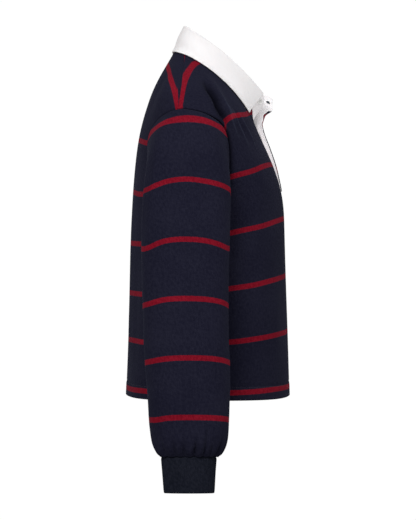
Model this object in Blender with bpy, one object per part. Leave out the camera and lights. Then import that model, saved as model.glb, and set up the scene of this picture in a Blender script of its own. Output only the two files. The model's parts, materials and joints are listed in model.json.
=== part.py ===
"""A long-sleeved rugby shirt, filled out as if worn, with nobody in it.

Metres, +Z up. The front faces -Y and the wearer's left is +X. The origin lies between the neck
ends of the two shoulder seams, where the wearer's shoulders hold the shirt up.
"""

import math
from collections import namedtuple

import bmesh
import bpy
import numpy as np

# ---------------------------------------------------------------- cloth and sewing
JERSEY = 0.0016  # wall of the body and sleeves
TWILL = 0.0015  # wall of the collar and plackets
RIB_WALL = 0.0020  # wall of the cuffs between ribs
SEAM_GAP = 0.0003

# ---------------------------------------------------------------- placket
SLOT_TOP, SLOT_FOOT = 0.0300, 0.0165  # half the width of the slot it closes
PLACKET_BOTTOM = -0.205
FACING_GAP = 0.0003  # between the over placket's two layers
PLACKET_LAYER = 0.0010  # wall of each of them
UNDER_DEPTH = JERSEY + 0.0009  # the under placket lies behind the right front
UNDER_TUCK = 0.0040  # how far it runs behind
UNDER_FOOT = 0.0040  # and below the slot
PLACKET_WIDTH = 0.0340
FACING_INSET = 0.0032  # from the over placket's free edge
CORNER_RADIUS = 0.0140  # of the over placket's top corner
TOP_SLOPE = 0.20  # how fast a placket's top edge falls away from its seam

# The top corner of each front stands forward of the chest by push, dying away over reach.
Corner = namedtuple("Corner", "push reach")
CORNERS = {1: Corner(0.008, 0.070), -1: Corner(0.006, 0.040)}  # left, right
CORNER_Z = -0.060

BUTTON_RADIUS = 0.0053
BUTTON_HEIGHT = 0.0021
BUTTON_SIDES = 16
# Its section, from its back to its front: shares of its radius and height.
BUTTON_PROFILE = ((0.8, 0.0), (1.0, 0.35), (1.0, 0.7), (0.8, 1.0))

# How each placket leaves its seam, from the neckline down: lift is its angle off the body at
# the seam, and curl is how much further it has turned at its free edge, in degrees.
Swing = namedtuple("Swing", "seam_z lift curl")
OVER_SWING = (
    Swing(-0.057, 54, 66),
    Swing(-0.069, 48, 76),
    Swing(-0.081, 30, 62),
    Swing(-0.092, 11, 36),
    Swing(-0.106, 1, 27),
    Swing(-0.138, 1, 20),
    Swing(-0.165, 2, 9),
    Swing(-0.190, 3, -1),
    Swing(-0.210, 4, -4),
)
UNDER_SWING = (
    Swing(-0.057, 60, -6),
    Swing(-0.075, 42, -6),
    Swing(-0.086, 24, -8),
    Swing(-0.096, 8, -10),
    Swing(-0.108, 1, -8),
    Swing(-0.120, -1, -7),
    Swing(-0.210, -1, -5),
)

# Buttons: which placket each sits on, how far down, and how far across it.
Button = namedtuple("Button", "name on z share")
BUTTONS = (
    Button("button_top", "under", -0.0585, 0.70),
    Button("button_middle", "over", -0.118, 0.50),
    Button("button_low", "over", -0.160, 0.44),
)

# ---------------------------------------------------------------- cuffs
CUFF_RIBS = 54
RIB_DEPTH = 0.0007
GATHERS = 20  # puckers where the sleeve meets its cuff
GATHER_DEPTH = 0.0015
GATHERS_START, GATHERS_FULL, GATHERS_SEWN = 0.87, 0.97, 1.0  # shares of the sleeve's length
GATHERS_KEPT = 0.4  # of their depth, at the seam

# Down the cuff from its seam: its two half widths, and where its back lies.
CuffRing = namedtuple("CuffRing", "drop half_out half_y back_y")
CUFF_RINGS = (
    CuffRing(0.000, 0.0300, 0.0393, 0.0318),
    CuffRing(0.020, 0.0298, 0.0376, 0.0300),
    CuffRing(0.051, 0.0288, 0.0355, 0.0275),
)

# ---------------------------------------------------------------- the body, ring by ring
Ring = namedtuple(
    "Ring", "name front_z side_z back_z half_width front_y seam_y back_y fullness"
)
BODY_RINGS = (
    Ring("hem", -0.524, -0.521, -0.5225, 0.2060, -0.1630, -0.030, 0.0940, 0.14),
    Ring("hip", -0.430, -0.430, -0.4300, 0.2040, -0.1603, -0.029, 0.0907, 0.14),
    Ring("waist", -0.340, -0.342, -0.3400, 0.1990, -0.1573, -0.028, 0.0885, 0.14),
    Ring("underarm", -0.262, -0.275, -0.2620, 0.1885, -0.1552, -0.026, 0.0865, 0.13),
    Ring("bust", -0.212, -0.222, -0.2060, 0.1900, -0.1512, -0.021, 0.0832, 0.11),
    Ring("chest", -0.163, -0.175, -0.1560, 0.1960, -0.1365, -0.015, 0.0788, 0.09),
    Ring("blade", -0.122, -0.130, -0.1080, 0.2020, -0.1182, -0.006, 0.0710, 0.06),
    Ring("sleeve_top", -0.098, -0.089, -0.0700, 0.2050, -0.1080, 0.003, 0.0600, 0.04),
    Ring("deltoid", -0.0875, -0.064, -0.0480, 0.1860, -0.1045, 0.003, 0.0520, 0.02),
    Ring("shoulder", -0.080, -0.039, -0.0240, 0.1500, -0.1030, 0.003, 0.0405, 0.0),
    Ring("collarbone", -0.0745, -0.016, -0.0010, 0.1120, -0.1015, 0.002, 0.0275, 0.0),
    Ring("neckline", -0.070, 0.008, 0.0256, 0.0740, -0.1005, 0.000, 0.0126, 0.0),
)

# The armhole seam, seen from the side, from the shoulder round the front to the back.
SeamPoint = namedtuple("SeamPoint", "y z")
ARMHOLE = (
    SeamPoint(0.0030, -0.0890),
    SeamPoint(-0.0238, -0.0935),
    SeamPoint(-0.0445, -0.1027),
    SeamPoint(-0.0580, -0.1150),
    SeamPoint(-0.0642, -0.1330),
    SeamPoint(-0.0655, -0.1650),
    SeamPoint(-0.0620, -0.2080),
    SeamPoint(-0.0480, -0.2500),
    SeamPoint(-0.0240, -0.2740),
    SeamPoint(0.0080, -0.2640),
    SeamPoint(0.0360, -0.2330),
    SeamPoint(0.0520, -0.1880),
    SeamPoint(0.0562, -0.1500),
    SeamPoint(0.0535, -0.1220),
    SeamPoint(0.0400, -0.1035),
    SeamPoint(0.0215, -0.0930),
)
UNDERARM = 8  # its lowest point in the list above

# ---------------------------------------------------------------- the sleeve
Section = namedtuple("Section", "name outer_x outer_z inner_x inner_z front_y back_y")
SLEEVE_SECTIONS = (
    Section("cap", 0.2280, -0.109, 0.1935, -0.284, -0.0670, 0.0575),
    Section("deltoid", 0.2460, -0.141, 0.1975, -0.292, -0.0682, 0.0598),
    Section("upper", 0.2620, -0.186, 0.2010, -0.302, -0.0677, 0.0615),
    Section("bicep", 0.2745, -0.235, 0.2045, -0.317, -0.0668, 0.0622),
    Section("low_bicep", 0.2845, -0.281, 0.2085, -0.337, -0.0657, 0.0620),
    Section("elbow", 0.2945, -0.330, 0.2135, -0.368, -0.0648, 0.0610),
    Section("forearm", 0.3065, -0.390, 0.2200, -0.416, -0.0646, 0.0585),
    Section("low_arm", 0.3190, -0.452, 0.2280, -0.474, -0.0652, 0.0548),
    Section("fullest", 0.3300, -0.512, 0.2385, -0.529, -0.0656, 0.0510),
    Section("gather", 0.3355, -0.551, 0.2475, -0.565, -0.0632, 0.0478),
    Section("tuck", 0.3340, -0.577, 0.2575, -0.586, -0.0565, 0.0412),
    Section("cuff_seam", 0.3265, -0.592, 0.2660, -0.598, -0.0482, 0.0326),
)
SLEEVE_FULLNESS = 0.08

# ---------------------------------------------------------------- the collar
# From the centre back to the front end: where on the neckline it is sewn (degrees from the
# centre front), its fold, and the edge of its leaf, on the wearer's left.
Turn = namedtuple(
    "Turn", "name neck_angle fold_x fold_y fold_z edge_x edge_y edge_z"
)
COLLAR_TURNS = (
    Turn("centre_back", 180, 0.0000, 0.0023, 0.0559, 0.0000, 0.0200, 0.0147),
    Turn("back", 148, 0.0340, 0.0000, 0.0530, 0.0480, 0.0150, 0.0095),
    Turn("side_back", 115, 0.0580, -0.0110, 0.0440, 0.0830, 0.0000, -0.0010),
    Turn("side", 86, 0.0680, -0.0300, 0.0302, 0.0990, -0.0260, -0.0165),
    Turn("side_front", 62, 0.0665, -0.0580, 0.0095, 0.1000, -0.0510, -0.0385),
    Turn("front_side", 42, 0.0530, -0.0870, -0.0160, 0.0930, -0.0760, -0.0630),
    Turn("front", 25, 0.0360, -0.1065, -0.0360, 0.0862, -0.0883, -0.0782),
    Turn("end", 13, 0.0200, -0.1196, -0.0500, 0.0780, -0.0950, -0.0872),
)
LEFT_END = Turn("left_end", 13, 0.0310, -0.1130, -0.0460, 0.0780, -0.0968, -0.0872)
STAND_RISE = 0.0012  # above the neckline that it is sewn to
UNDER_COLLAR = 0.7  # the share of the body's height that the collar lies above
FOLD_RADIUS = 0.0028
LEAF_BULGE = 0.0020
LEAF_CLEARANCE = TWILL + 0.0018  # of its outer face, off the shirt

# ---------------------------------------------------------------- mesh density
SIDE_STEPS = 9  # columns from the slot to the side seam
SEAM_STEPS, ARMHOLE_STEPS, SHOULDER_STEPS = 8, GATHERS, 4  # rows up the front and back
PANEL_STEPS = SEAM_STEPS + ARMHOLE_STEPS + SHOULDER_STEPS
SLOT_STEPS = 17  # of them, those above the slot's foot
ROW_BEND = 1.6  # how late a row turns from its centre height to its edge height
PLACKET_STEPS = 7
SLEEVE_STEPS = 16
SLEEVE_CROWDING = 0.09  # of its rings, towards its two ends
AROUND_SLEEVE = 2 * ARMHOLE_STEPS
LOOP_STEPS = 240  # along the armhole, to find where it crosses the body
COLLAR_STEPS = 26
FOLD_ANGLES = (180, 130, 90, 50, 0)
STAND_STEPS, LEAF_STEPS = 3, 4

MATERIALS = {
    "jersey": ((0.012, 0.016, 0.030), 0.88),
    "twill": ((0.86, 0.85, 0.85), 0.80),
    "rib": ((0.010, 0.013, 0.022), 0.92),
    "button": ((0.74, 0.76, 0.74), 0.40),
}


# ---------------------------------------------------------------- maths
def spline(knots, rows):
    """A natural cubic spline through the rows, as a function of the knots' parameter."""
    knots, rows = np.asarray(knots, float), np.asarray(rows, float)
    span, count = np.diff(knots), len(knots)
    system, right = np.eye(count), np.zeros_like(rows)
    for i in range(1, count - 1):
        system[i, i - 1 : i + 2] = span[i - 1], 2 * (span[i - 1] + span[i]), span[i]
        rise, fall = rows[i + 1] - rows[i], rows[i] - rows[i - 1]
        right[i] = 6 * (rise / span[i] - fall / span[i - 1])
    bend = np.linalg.solve(system, right)

    def at(parameter):
        where = np.clip(np.asarray(parameter, float), knots[0], knots[-1])
        i = np.clip(np.searchsorted(knots, where) - 1, 0, count - 2)
        h = span[i][..., None]
        b = (where - knots[i])[..., None] / h
        a = 1 - b
        curve = (a**3 - a) * bend[i] + (b**3 - b) * bend[i + 1]
        return a * rows[i] + b * rows[i + 1] + curve * h**2 / 6

    return at


def smooth(x):
    """0 to 1 with flat ends."""
    x = np.clip(x, 0, 1)
    return x * x * (3 - 2 * x)


def distances(points):
    """Running length along a list of points."""
    steps = np.linalg.norm(np.diff(points, axis=0), axis=1)
    return np.concatenate([[0], np.cumsum(steps)])


def unit(vectors):
    return vectors / np.linalg.norm(vectors, axis=-1, keepdims=True)


# ---------------------------------------------------------------- body surface
def ring_knots():
    """The rings' heights as a share of the way from hem to neckline."""
    rings = np.array([ring[1:] for ring in BODY_RINGS])
    side = np.stack([rings[:, 3], rings[:, 1]], axis=1)
    front = np.stack([rings[:, 4], rings[:, 0]], axis=1)
    back = np.stack([rings[:, 6], rings[:, 2]], axis=1)
    along = distances(side) + distances(front) + distances(back)
    return along / along[-1]


body_ring = spline(ring_knots(), [ring[1:] for ring in BODY_RINGS])


def body(angle, height):
    """The body's outer face. angle is 0 at the centre front, +90 degrees at the left side."""
    angle, height = np.broadcast_arrays(angle, height)
    front_z, side_z, back_z, half_width, front_y, seam_y, back_y, fullness = np.moveaxis(
        body_ring(height), -1, 0
    )
    s, c = np.sin(angle), np.cos(angle)
    reach = np.where(c > 0, seam_y - front_y, back_y - seam_y)
    top = np.where(c > 0, front_z, back_z)
    x = half_width * s * (1 + fullness * c * c)
    y = seam_y - reach * c * (1 + fullness * s * s)
    z = side_z + (top - side_z) * c * c
    point = np.stack([x, y, z], axis=-1)
    for side, corner in CORNERS.items():
        away = np.hypot(x - side * SLOT_TOP, z - CORNER_Z) / corner.reach
        near = smooth(1 - away) * smooth(0.5 + side * x / SLOT_TOP) * (c > 0)
        point[..., 1] -= corner.push * near
    return point


def body_normal(angle, height):
    step = 1e-4
    around = body(angle + step, height) - body(angle - step, height)
    up = body(angle, np.minimum(height + step, 1)) - body(angle, height - step)
    return unit(np.cross(around, up))


def armhole_loop():
    """(angle, height) all round the left armhole, closed, and how far round the underarm is."""
    points = np.array(ARMHOLE + ARMHOLE[:1])
    knots = distances(points)
    fine = spline(knots, points)(np.linspace(0, knots[-1], LOOP_STEPS + 1))
    place, step, found = np.array([math.radians(88), 0.72]), 1e-5, []
    for target in fine:
        for _ in range(30):
            here = body(*place)[1:]
            turned = (body(place[0] + step, place[1])[1:] - here) / step
            raised = (body(place[0], place[1] + step)[1:] - here) / step
            slopes = np.stack([turned, raised], axis=1)
            place = place + np.clip(np.linalg.solve(slopes, target - here), -0.1, 0.1)
            place[1] = min(max(place[1], 0), 1)
        found.append(place)
    return np.array(found), int(round(LOOP_STEPS * knots[UNDERARM] / knots[-1]))


ARMHOLE_LOOP, ARMHOLE_LOW = armhole_loop()


def armhole_half(front):
    """(angle, height) at equal steps from the underarm up to the shoulder."""
    half = ARMHOLE_LOOP[: ARMHOLE_LOW + 1][::-1] if front else ARMHOLE_LOOP[ARMHOLE_LOW:]
    along = distances(body(half[:, 0], half[:, 1]))
    wanted = np.linspace(0, along[-1], ARMHOLE_STEPS + 1)
    return np.stack([np.interp(wanted, along, half[:, k]) for k in (0, 1)], axis=1)


def panel_edge(front):
    """(angle, height) up the edge of a front or back: side seam, armhole, shoulder seam."""
    armhole = armhole_half(front)
    side = [math.pi / 2, 0]
    neck = [math.pi / 2, 1]
    seam = np.linspace(side, armhole[0], SEAM_STEPS + 1)
    shoulder = np.linspace(armhole[-1], neck, SHOULDER_STEPS + 1)
    return np.concatenate([seam[:-1], armhole[:-1], shoulder])


def centre_heights():
    """Heights of the rows at the centre, one of them at the slot's foot."""
    fine = np.linspace(0, 1, 201)
    foot = np.interp(PLACKET_BOTTOM, body(0.0, fine)[:, 2], fine)
    below = np.linspace(0, foot, PANEL_STEPS - SLOT_STEPS + 1)
    above = np.linspace(foot, 1, SLOT_STEPS + 1)
    return np.concatenate([below[:-1], above])


def slot_angle(height):
    """The angle of the slot's left edge at each height."""
    foot = centre_heights()[PANEL_STEPS - SLOT_STEPS]
    half = SLOT_FOOT + (SLOT_TOP - SLOT_FOOT) * smooth((height - foot) / (1 - foot))
    ring = body_ring(height)
    return np.arcsin(half / (ring[..., 3] * (1 + ring[..., 7])))


def panel_grid(front, inner_angles):
    """(angle, height) of a half panel: rows up the garment, columns out to its edge."""
    edge, centre = panel_edge(front), centre_heights()
    out = np.linspace(0, 1, SIDE_STEPS + 1)
    angle = inner_angles[:, None] + (edge[:, :1] - inner_angles[:, None]) * out
    height = centre[:, None] + (edge[:, 1:] - centre[:, None]) * out**ROW_BEND
    return angle, height


# ---------------------------------------------------------------- walls
def clear_scene():
    for old in list(bpy.data.objects):
        bpy.data.objects.remove(old)


def material(name):
    made = bpy.data.materials.get(name)
    if made is None:
        colour, roughness = MATERIALS[name]
        made = bpy.data.materials.new(name)
        made.use_nodes = True
        shader = made.node_tree.nodes["Principled BSDF"]
        shader.inputs["Base Color"].default_value = (*colour, 1)
        shader.inputs["Roughness"].default_value = roughness
        shader.inputs["Metallic"].default_value = 0
    return made


def add_object(name, verts, faces, finish):
    mesh = bpy.data.meshes.new(name)
    mesh.from_pydata([tuple(map(float, v)) for v in verts], [], faces)
    work = bmesh.new()
    work.from_mesh(mesh)
    bmesh.ops.recalc_face_normals(work, faces=work.faces)
    bmesh.ops.triangulate(work, faces=work.faces)
    work.to_mesh(mesh)
    work.free()
    mesh.shade_smooth()
    mesh.set_sharp_from_angle(angle=math.radians(40))
    mesh.materials.append(material(finish))
    made = bpy.data.objects.new(name, mesh)
    bpy.context.scene.collection.objects.link(made)
    return made


def grid_cells(rows, columns, closed=False, skip=lambda row, column: False):
    """The corners of each cell of a grid of points, its columns joined up if closed."""
    cells = []
    for row in range(rows - 1):
        for column in range(columns if closed else columns - 1):
            beside = (column + 1) % columns
            low, high = row * columns, (row + 1) * columns
            if not skip(row, column):
                cells.append((low + column, low + beside, high + beside, high + column))
    return cells


def wall(name, outer, inner, finish, closed=False, skip=lambda row, column: False):
    """A closed wall between two matching grids of points."""
    rows, columns = outer.shape[:2]
    count = rows * columns
    cells = grid_cells(rows, columns, closed, skip)
    sides = {side for cell in cells for side in zip(cell, cell[1:] + cell[:1])}
    faces = cells + [tuple(count + v for v in reversed(cell)) for cell in cells]
    faces += [(b, a, count + a, count + b) for a, b in sorted(sides) if (b, a) not in sides]
    points = np.concatenate([outer.reshape(-1, 3), inner.reshape(-1, 3)])
    return add_object(name, points, faces, finish)


def grid_normals(grid, closed=False):
    """Normals of a grid of points, along its rows' direction crossed with its columns'."""
    if closed:
        across = np.roll(grid, -1, axis=1) - np.roll(grid, 1, axis=1)
    else:
        across = np.gradient(grid, axis=1)
    return unit(np.cross(across, np.gradient(grid, axis=0)))


def trim(line, inside, gap=SEAM_GAP / 2):
    """The line drawn back along the cloth, to leave a seam's gap."""
    return line + unit(inside - line) * gap


# ---------------------------------------------------------------- front and back
def half_panel(front, side, inner_angles):
    """Outer points and normals of a half panel on the left (+1) or right (-1)."""
    angle, height = panel_grid(front, inner_angles)
    points = body(side * angle, height)
    points[:, -1] = trim(points[:, -1], points[:, -2])
    return points, body_normal(side * angle, height)


def front_panel():
    angles = slot_angle(centre_heights())
    left, left_n = half_panel(True, 1, angles)
    right, right_n = half_panel(True, -1, angles)
    foot = PANEL_STEPS - SLOT_STEPS
    for half in (left, right):
        half[foot:, 0] = trim(half[foot:, 0], half[foot:, 1])
    outer = np.concatenate([right[:, ::-1], left], axis=1)
    normals = np.concatenate([right_n[:, ::-1], left_n], axis=1)

    def in_slot(row, column):
        return column == SIDE_STEPS and row >= foot

    wall("front", outer, outer - normals * JERSEY, "jersey", skip=in_slot)


def back_panel():
    points, normals = half_panel(False, 1, np.full(PANEL_STEPS + 1, math.pi))
    mirror = np.array([-1, 1, 1])
    outer = np.concatenate([points[:, ::-1], (points * mirror)[:, 1:]], axis=1)
    normals = np.concatenate([normals[:, ::-1], (normals * mirror)[:, 1:]], axis=1)
    wall("back", outer, outer - normals * JERSEY, "jersey")


# ---------------------------------------------------------------- sleeves and cuffs
def section_ring(section, turn):
    """One ring round the sleeve. turn is 0 on its outer line and 90 degrees in front."""
    s, c = np.sin(turn), np.cos(turn)
    outer = np.array([section.outer_x, section.outer_z])
    inner = np.array([section.inner_x, section.inner_z])
    middle, half = (outer + inner) / 2, (outer - inner) / 2
    across = middle + half * (c * (1 + SLEEVE_FULLNESS * s * s))[:, None]
    centre_y = (section.front_y + section.back_y) / 2
    half_y = (section.back_y - section.front_y) / 2
    y = centre_y - half_y * s * (1 + SLEEVE_FULLNESS * c * c)
    return np.stack([across[:, 0], y, across[:, 1]], axis=1)


def armhole_ring():
    """Points round the armhole: the shoulder, down the front to the underarm, up the back."""
    front, back = armhole_half(True), armhole_half(False)
    down, up = body(front[:, 0], front[:, 1])[::-1], body(back[:, 0], back[:, 1])
    return np.concatenate([down[:-1], up[:-1]])


def sleeve_grid():
    """Rings of points down the left sleeve's outer face."""
    turn = np.linspace(0, 2 * math.pi, AROUND_SLEEVE, endpoint=False)
    rings = [armhole_ring()] + [section_ring(section, turn) for section in SLEEVE_SECTIONS]
    rings = np.array(rings)
    lengths = np.linalg.norm(np.diff(rings, axis=0), axis=2).mean(axis=1)
    knots = np.concatenate([[0], np.cumsum(lengths)]) / lengths.sum()
    down = np.linspace(0, 1, SLEEVE_STEPS + 1)
    down = down - SLEEVE_CROWDING * np.sin(2 * math.pi * down)
    at = spline(knots, rings.reshape(len(rings), -1))
    grid = at(down).reshape(len(down), AROUND_SLEEVE, 3)
    gathered = smooth((down - GATHERS_START) / (GATHERS_FULL - GATHERS_START))
    sewn = smooth((down - GATHERS_FULL) / (GATHERS_SEWN - GATHERS_FULL))
    gathered = gathered * (1 - (1 - GATHERS_KEPT) * sewn)
    wave = np.cos(GATHERS * turn) * GATHER_DEPTH
    from_centre = unit(grid - grid.mean(axis=1, keepdims=True))
    return grid + from_centre * gathered[:, None, None] * wave[None, :, None]


def cuff_grids():
    """Outer and inner rings of the left cuff, its ribs raised on alternate outer points."""
    seam = SLEEVE_SECTIONS[-1]
    out = unit(np.array([seam.outer_x - seam.inner_x, 0, seam.outer_z - seam.inner_z]))
    down = np.array([out[2], 0, -out[0]])
    centre_x, centre_z = (seam.outer_x + seam.inner_x) / 2, (seam.outer_z + seam.inner_z) / 2
    turn = np.linspace(0, 2 * math.pi, 2 * CUFF_RIBS, endpoint=False)[:, None]
    forward = np.array([0, -1, 0])
    rib = np.where(np.arange(2 * CUFF_RIBS) % 2 == 0, RIB_DEPTH, 0)[:, None]
    away = np.cos(turn) * out + np.sin(turn) * forward
    outer, inner = [], []
    for ring in CUFF_RINGS:
        middle = np.array([centre_x, ring.back_y - ring.half_y, centre_z])
        middle = middle + down * (SEAM_GAP + ring.drop)
        line = middle + np.cos(turn) * out * ring.half_out + np.sin(turn) * forward * ring.half_y
        outer.append(line + away * rib)
        inner.append(line - away * RIB_WALL)
    return np.array(outer), np.array(inner)


def sleeve_and_cuff(side, name):
    """side is +1 on the wearer's left and -1 on the right."""
    mirror = np.array([side, 1, 1])
    grid = sleeve_grid()
    normals = grid_normals(grid, closed=True)
    grid[0] = trim(grid[0], grid[1], SEAM_GAP)
    inner = (grid - normals * JERSEY) * mirror
    wall("sleeve_" + name, grid * mirror, inner, "jersey", closed=True)
    outer, inner = cuff_grids()
    wall("cuff_" + name, outer * mirror, inner * mirror, "rib", closed=True)


# ---------------------------------------------------------------- plackets
def swung(side, swing, across, depth=0.0):
    """A placket's outer face: rows up its seam, columns at the distances across from it.

    side is +1 where its seam is on the left. It lies depth behind the body's face at the seam.
    """
    height = centre_heights()[PANEL_STEPS - SLOT_STEPS :]
    angle = side * slot_angle(height)
    normal = body_normal(angle, height)
    seam = body(angle, height)
    up = unit(np.gradient(seam, axis=0))
    inward = np.cross(normal, up) * side
    table = np.array([row[:] for row in swing])[::-1]
    lift = np.radians(np.interp(seam[:, 2], table[:, 0], table[:, 1]))[:, None]
    curl = np.radians(np.interp(seam[:, 2], table[:, 0], table[:, 2]))[:, None]
    across = np.asarray(across)[None, :]
    swinging = np.maximum(across, 0)
    half_turn = curl * swinging / (2 * PLACKET_WIDTH)
    chord = swinging * np.sinc(half_turn / math.pi)
    slope = lift + half_turn
    along = (chord * np.cos(slope) + np.minimum(across, 0))[..., None]
    out = (chord * np.sin(slope) - depth)[..., None]
    return seam[:, None] + inward[:, None] * along + normal[:, None] * out


def cut_top(grid, drops):
    """The grid with each column shortened at its top by its drop."""
    for column, drop in enumerate(drops):
        along = distances(grid[:, column])
        kept = along * (1 - drop / along[-1])
        grid[:, column] = np.stack([np.interp(kept, along, k) for k in grid[:, column].T], axis=1)
    return grid


def over_grid():
    """The over placket's outer face and normals. Its facing stops one column short."""
    across = np.linspace(SEAM_GAP, PLACKET_WIDTH - FACING_INSET, PLACKET_STEPS)
    across = np.append(across, PLACKET_WIDTH)
    past = np.maximum(across - (PLACKET_WIDTH - CORNER_RADIUS), 0)
    round_off = CORNER_RADIUS - np.sqrt(CORNER_RADIUS**2 - past**2)
    grid = cut_top(swung(1, OVER_SWING, across), across * TOP_SLOPE + round_off)
    grid[0] = trim(grid[0], grid[1], SEAM_GAP)
    return grid, -grid_normals(grid)


def under_grid():
    """The under placket's outer face and normals, from behind the right front's edge."""
    across = np.linspace(0, PLACKET_WIDTH - UNDER_TUCK, PLACKET_STEPS)
    across = np.append(-UNDER_TUCK, across)
    grid = swung(-1, UNDER_SWING, across, UNDER_DEPTH)
    grid = cut_top(grid, np.maximum(across, 0) * TOP_SLOPE)
    foot = grid[0] + unit(grid[0] - grid[1]) * UNDER_FOOT
    grid = np.concatenate([foot[None], grid])
    return grid, grid_normals(grid)


def plackets():
    grid, normals = over_grid()
    wall("placket_over", grid, grid - normals * PLACKET_LAYER, "jersey")
    grid, normals = grid[:, :-1], normals[:, :-1]
    front = grid - normals * (PLACKET_LAYER + FACING_GAP)
    wall("placket_facing", front, front - normals * PLACKET_LAYER, "twill")
    grid, normals = under_grid()
    wall("placket_under", grid, grid - normals * TWILL, "twill")


def buttons():
    """Flat round buttons, each just clear of the placket it sits on."""
    grids = {"over": over_grid(), "under": under_grid()}
    for button in BUTTONS:
        grid, normals = grids[button.on]
        across = distances(grid[-1])
        column = int(np.argmin(abs(across - across[-1] * button.share)))
        row = int(np.argmin(abs(grid[:, column, 2] - button.z)))
        out = normals[row, column]
        up = unit(np.gradient(grid, axis=0)[row, column])
        side = np.cross(up, out)
        under = grid[np.linalg.norm(grid - grid[row, column], axis=-1) < BUTTON_RADIUS * 1.2]
        highest = max((under - grid[row, column]) @ out)
        base = grid[row, column] + out * (highest + 2 * SEAM_GAP)
        turn = np.linspace(0, 2 * math.pi, BUTTON_SIDES, endpoint=False)[:, None]
        circle = (np.cos(turn) * side + np.sin(turn) * up) * BUTTON_RADIUS
        rings = [base + circle * wide + out * BUTTON_HEIGHT * high for wide, high in BUTTON_PROFILE]
        faces = grid_cells(len(rings), BUTTON_SIDES, closed=True)
        faces += [tuple(range(BUTTON_SIDES))]
        faces += [tuple(range((len(rings) - 1) * BUTTON_SIDES, len(rings) * BUTTON_SIDES))]
        add_object(button.name, np.concatenate(rings), faces, "button")


# ---------------------------------------------------------------- collar
def neck_line(side, angles):
    """Where the collar stands: along the neckline, then along the placket's top edge.

    Gives points on the middle of that edge's wall, and the way up from it.
    """
    slot = slot_angle(np.array(1.0))
    on_body = np.maximum(angles, slot)
    line, normal = body(side * on_body, 1.0), body_normal(side * on_body, 1.0)
    rise = unit(line - body(side * on_body, 0.99))
    line = line - normal * JERSEY / 2
    grid, normals = over_grid() if side > 0 else under_grid()
    along = distances(grid[-1])
    past = along[-1] * (1 - angles / slot)
    edge = grid[-1] - normals[-1] * TWILL / 2
    placket = np.stack([np.interp(past, along, column) for column in edge.T], axis=1)
    up = unit(np.gradient(grid, axis=0)[-1])
    placket_up = unit(np.stack([np.interp(past, along, column) for column in up.T], axis=1))
    on_placket = (angles < slot)[:, None]
    return np.where(on_placket, placket, line), np.where(on_placket, placket_up, rise)


def clear_of_body(points, clearance):
    """The points, moved out along the body's normals until they stand clear of it."""
    angle = np.radians(np.arange(-180, 180, 3))
    angle, height = np.meshgrid(angle, np.linspace(UNDER_COLLAR, 1, 31))
    skin, out = body(angle, height).reshape(-1, 3), body_normal(angle, height).reshape(-1, 3)
    moved = points.reshape(-1, 3).copy()
    for i, point in enumerate(moved):
        nearest = np.argmin(((skin - point) ** 2).sum(axis=1))
        depth = (point - skin[nearest]) @ out[nearest]
        moved[i] += out[nearest] * max(clearance - depth, 0)
    return moved.reshape(points.shape)


def half_collar(side):
    """Rows up the stand, over the fold and down the leaf; columns from the back to the front."""
    last = LEFT_END if side > 0 else COLLAR_TURNS[-1]
    turns = np.array([turn[1:] for turn in (*COLLAR_TURNS[:-1], last)])
    share = np.linspace(0, 1, len(turns))
    table = spline(share, turns)(np.linspace(0, 1, COLLAR_STEPS // 2 + 1))
    mirror = np.array([side, 1, 1])
    neck, rise = neck_line(side, np.radians(table[:, 0]))
    fold, edge = table[:, 1:4] * mirror, table[:, 4:7] * mirror
    forward = unit(np.gradient(fold, axis=0))
    forward[0] = np.array([side, 0, 0])
    away = fold - np.array([0, -0.045, 0])
    away[:, 2] = 0
    away = unit(away - forward * (away * forward).sum(axis=1, keepdims=True))
    up = np.cross(away, forward)
    up = up * np.sign(up[:, 2:])
    heart = fold - up * FOLD_RADIUS
    neck = neck + rise * (STAND_RISE + TWILL / 2) - away * TWILL / 2
    top = heart - away * FOLD_RADIUS
    rows = [neck + (top - neck) * k / STAND_STEPS for k in range(STAND_STEPS)]
    for around in np.radians(FOLD_ANGLES):
        rows.append(heart + (away * math.cos(around) + up * math.sin(around)) * FOLD_RADIUS)
    top = rows[-1]
    for k in np.linspace(0, 1, LEAF_STEPS + 1)[1:]:
        leaf = top + (edge - top) * k + away * LEAF_BULGE * 4 * k * (1 - k)
        rows.append(clear_of_body(leaf, LEAF_CLEARANCE))
    return np.array(rows)


def collar():
    left, right = half_collar(1), half_collar(-1)
    grid = np.concatenate([right[:, ::-1], left[:, 1:]], axis=1)
    wall("collar", grid, grid - grid_normals(grid) * TWILL, "twill")


def build():
    clear_scene()
    front_panel()
    back_panel()
    for side, name in ((1, "left"), (-1, "right")):
        sleeve_and_cuff(side, name)
    plackets()
    buttons()
    collar()


build()
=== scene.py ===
"""Looks of a long-sleeved rugby shirt: striped jersey, twill collar and placket, rib cuffs.

Metres, +Z up. The front faces -Y and the wearer's left is +X. Each cloth piece is a wall between
an outer and an inner grid of points, and carries UV maps. "cloth" is in metres, u across the cloth
and v up it. "stripes" holds a point's stripe number and how closely the stripes lie there. "shade"
holds how much painted shade darkens the cloth in deep folds, beside the front armhole and along
the collar's fold, and how much a painted highlight pales it along sharp folds.
"""

import json
import math
from collections import namedtuple
from contextlib import contextmanager

import bmesh
import bpy
import numpy as np
from mathutils import Matrix, Vector
from mathutils.geometry import delaunay_2d_cdt

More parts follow.
